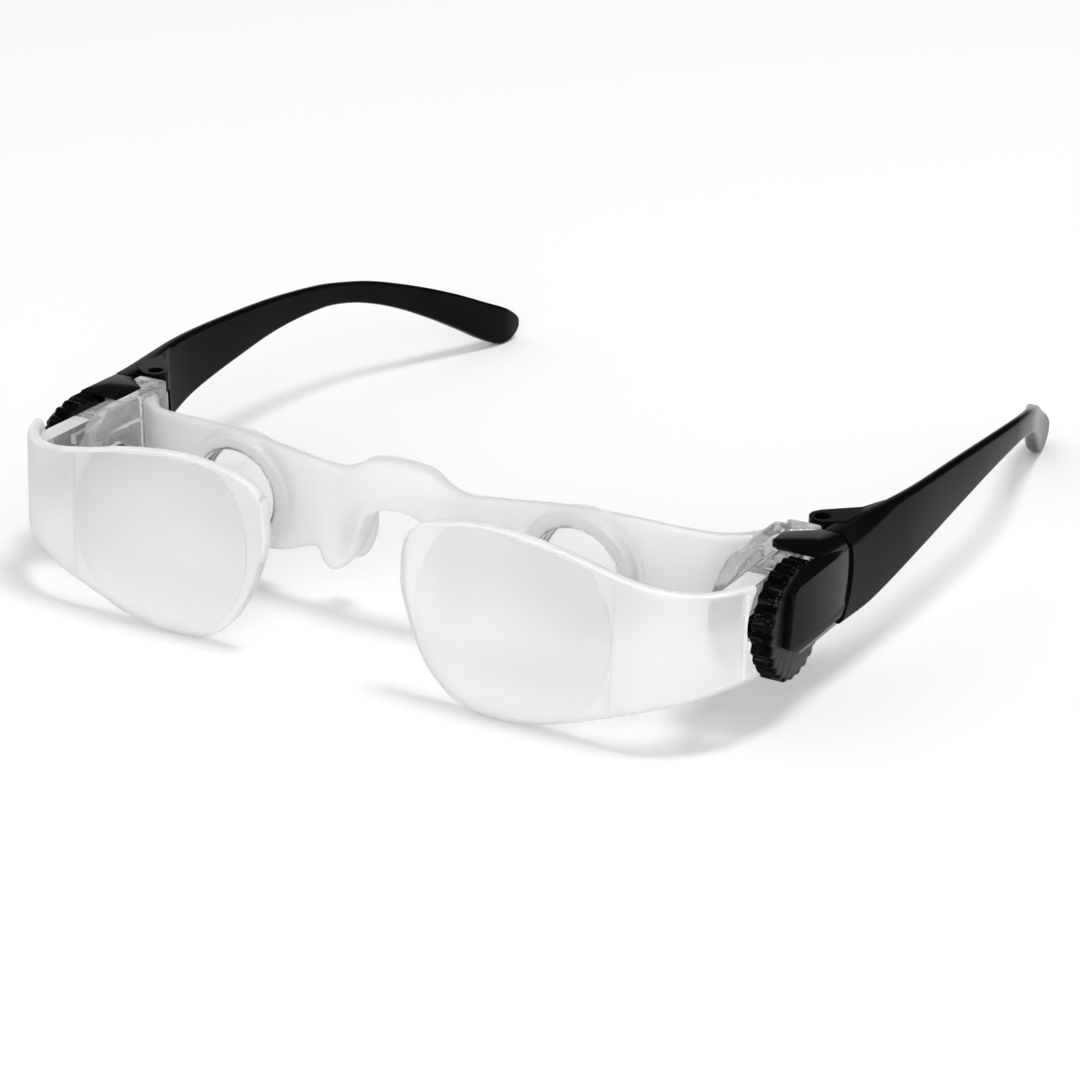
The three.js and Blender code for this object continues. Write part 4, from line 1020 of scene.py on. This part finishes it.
studio = dict(
    floorSize=6.0, floorShade=0.93, floorRough=0.9, floorGlow=0.07, floorFade=(0.45, 1.6),
    worldLow=0.9, worldHigh=0.03, ambient=0.54, skyEdge=(0.35, 0.39), cardEdge=(-0.45, -0.3),
    lamps=dict(
        overhead=dict(at=(0.62, 0.15, 2.4), aim=(0.0, 0.0, 0.0), size=0.6, power=21.5),
        front=dict(at=(1.0, -2.6, 1.1), aim=(0.0, -0.05, 0.0), size=1.8, power=40.0)))
view = dict(lens=99.938, sensor=36.0, at=(0.280765, -0.493879, 0.236053),
            right=(0.862395, 0.506217, 0.004365), up=(-0.201730, 0.335735, 0.920102))


def rayIs(tree, *kinds):
    # 1 for a ray of any of these kinds, and 0 for all others
    rays = tree.nodes.new("ShaderNodeLightPath")
    found, output = rays, kinds[0]
    for kind in kinds[1:]:
        either = mathNode(tree, "MAXIMUM")
        wire(tree, (found, output, either, 0), (rays, kind, either, 1))
        found, output = either, 0
    return found


def makeFloor():
    # the paper whitens with distance and meets the white background
    s = studio
    bm = bmesh.new()
    bmesh.ops.create_grid(bm, x_segments=8, y_segments=8, size=s["floorSize"] / 2)
    floor = objectOf(bm, "floor")
    material, tree, shader = newMaterial("floorPaper")
    setInputs(shader, {"Base Color": grey(s["floorShade"]), "Roughness": s["floorRough"],
                       "Specular IOR Level": 0.0, "Emission Color": grey(1)})
    coords = tree.nodes.new("ShaderNodeTexCoord")
    reach = vectorNode(tree, "LENGTH")
    whiten = ramp(tree, *s["floorFade"], s["floorGlow"], 1.0)
    glow = mathNode(tree, "MULTIPLY")
    seen = rayIs(tree, "Is Camera Ray", "Is Transmission Ray", "Is Glossy Ray")
    wire(tree, (coords, "Object", reach, 0), (reach, "Value", whiten, "Value"),
         (seen, 0, glow, 0), (whiten, "Result", glow, 1),
         (glow, 0, shader, "Emission Strength"))
    floor.data.materials.append(material)


def makeWorld():
    # white to the camera and behind clear plastic; what black plastic mirrors is a white card,
    # low down and far to the wearer's right, in a dark room; and the light is even where the
    # path has met a matt surface
    s = studio
    world = bpy.data.worlds.new("studio")
    bpy.context.scene.world = world
    world.use_nodes = True
    tree = world.node_tree
    background = tree.nodes["Background"]
    background.inputs["Color"].default_value = grey(1)
    coords = tree.nodes.new("ShaderNodeTexCoord")
    split = tree.nodes.new("ShaderNodeSeparateXYZ")
    fade = ramp(tree, *s["skyEdge"], s["worldLow"], s["worldHigh"])
    aside = ramp(tree, *s["cardEdge"], 1.0, s["worldHigh"])
    card = mathNode(tree, "MULTIPLY")
    seen = rayIs(tree, "Is Camera Ray", "Is Transmission Ray")
    rays = tree.nodes.new("ShaderNodeLightPath")
    matt = mathNode(tree, "GREATER_THAN", 0.5)
    backdrop, even = [tree.nodes.new("ShaderNodeMix") for _ in range(2)]
    setInputs(backdrop, {"B": 1.0})
    setInputs(even, {"B": s["ambient"]})
    wire(tree, (coords, "Generated", split, "Vector"), (split, "Z", fade, "Value"),
         (split, "X", aside, "Value"), (fade, "Result", card, 0), (aside, "Result", card, 1),
         (card, 0, backdrop, "A"), (seen, 0, backdrop, "Factor"),
         (rays, "Diffuse Depth", matt, 0), (matt, 0, even, "Factor"),
         (backdrop, "Result", even, "A"), (even, "Result", background, "Strength"))


def makeLamp(name, look):
    light = bpy.data.lights.new(name, "AREA")
    light.shape = "SQUARE"
    light.size = look["size"]
    light.energy = look["power"]
    lamp = bpy.data.objects.new(name, light)
    bpy.context.scene.collection.objects.link(lamp)
    lamp.location = look["at"]
    aim = Vector(look["aim"]) - lamp.location
    lamp.rotation_euler = aim.to_track_quat("-Z", "Y").to_euler()


def makeCamera():
    camera = bpy.data.objects.new("camera", bpy.data.cameras.new("camera"))
    bpy.context.scene.collection.objects.link(camera)
    camera.data.lens = view["lens"]
    camera.data.sensor_width = view["sensor"]
    right, up = Vector(view["right"]), Vector(view["up"])
    turn = Matrix((right, up, right.cross(up))).transposed().to_4x4()
    camera.matrix_world = Matrix.Translation(view["at"]) @ turn
    bpy.context.scene.camera = camera


makeFloor()
makeWorld()
for name, look in studio["lamps"].items():
    makeLamp(name, look)
makeCamera()
bpy.context.scene.view_settings.view_transform = "Standard"
print("studio ready")
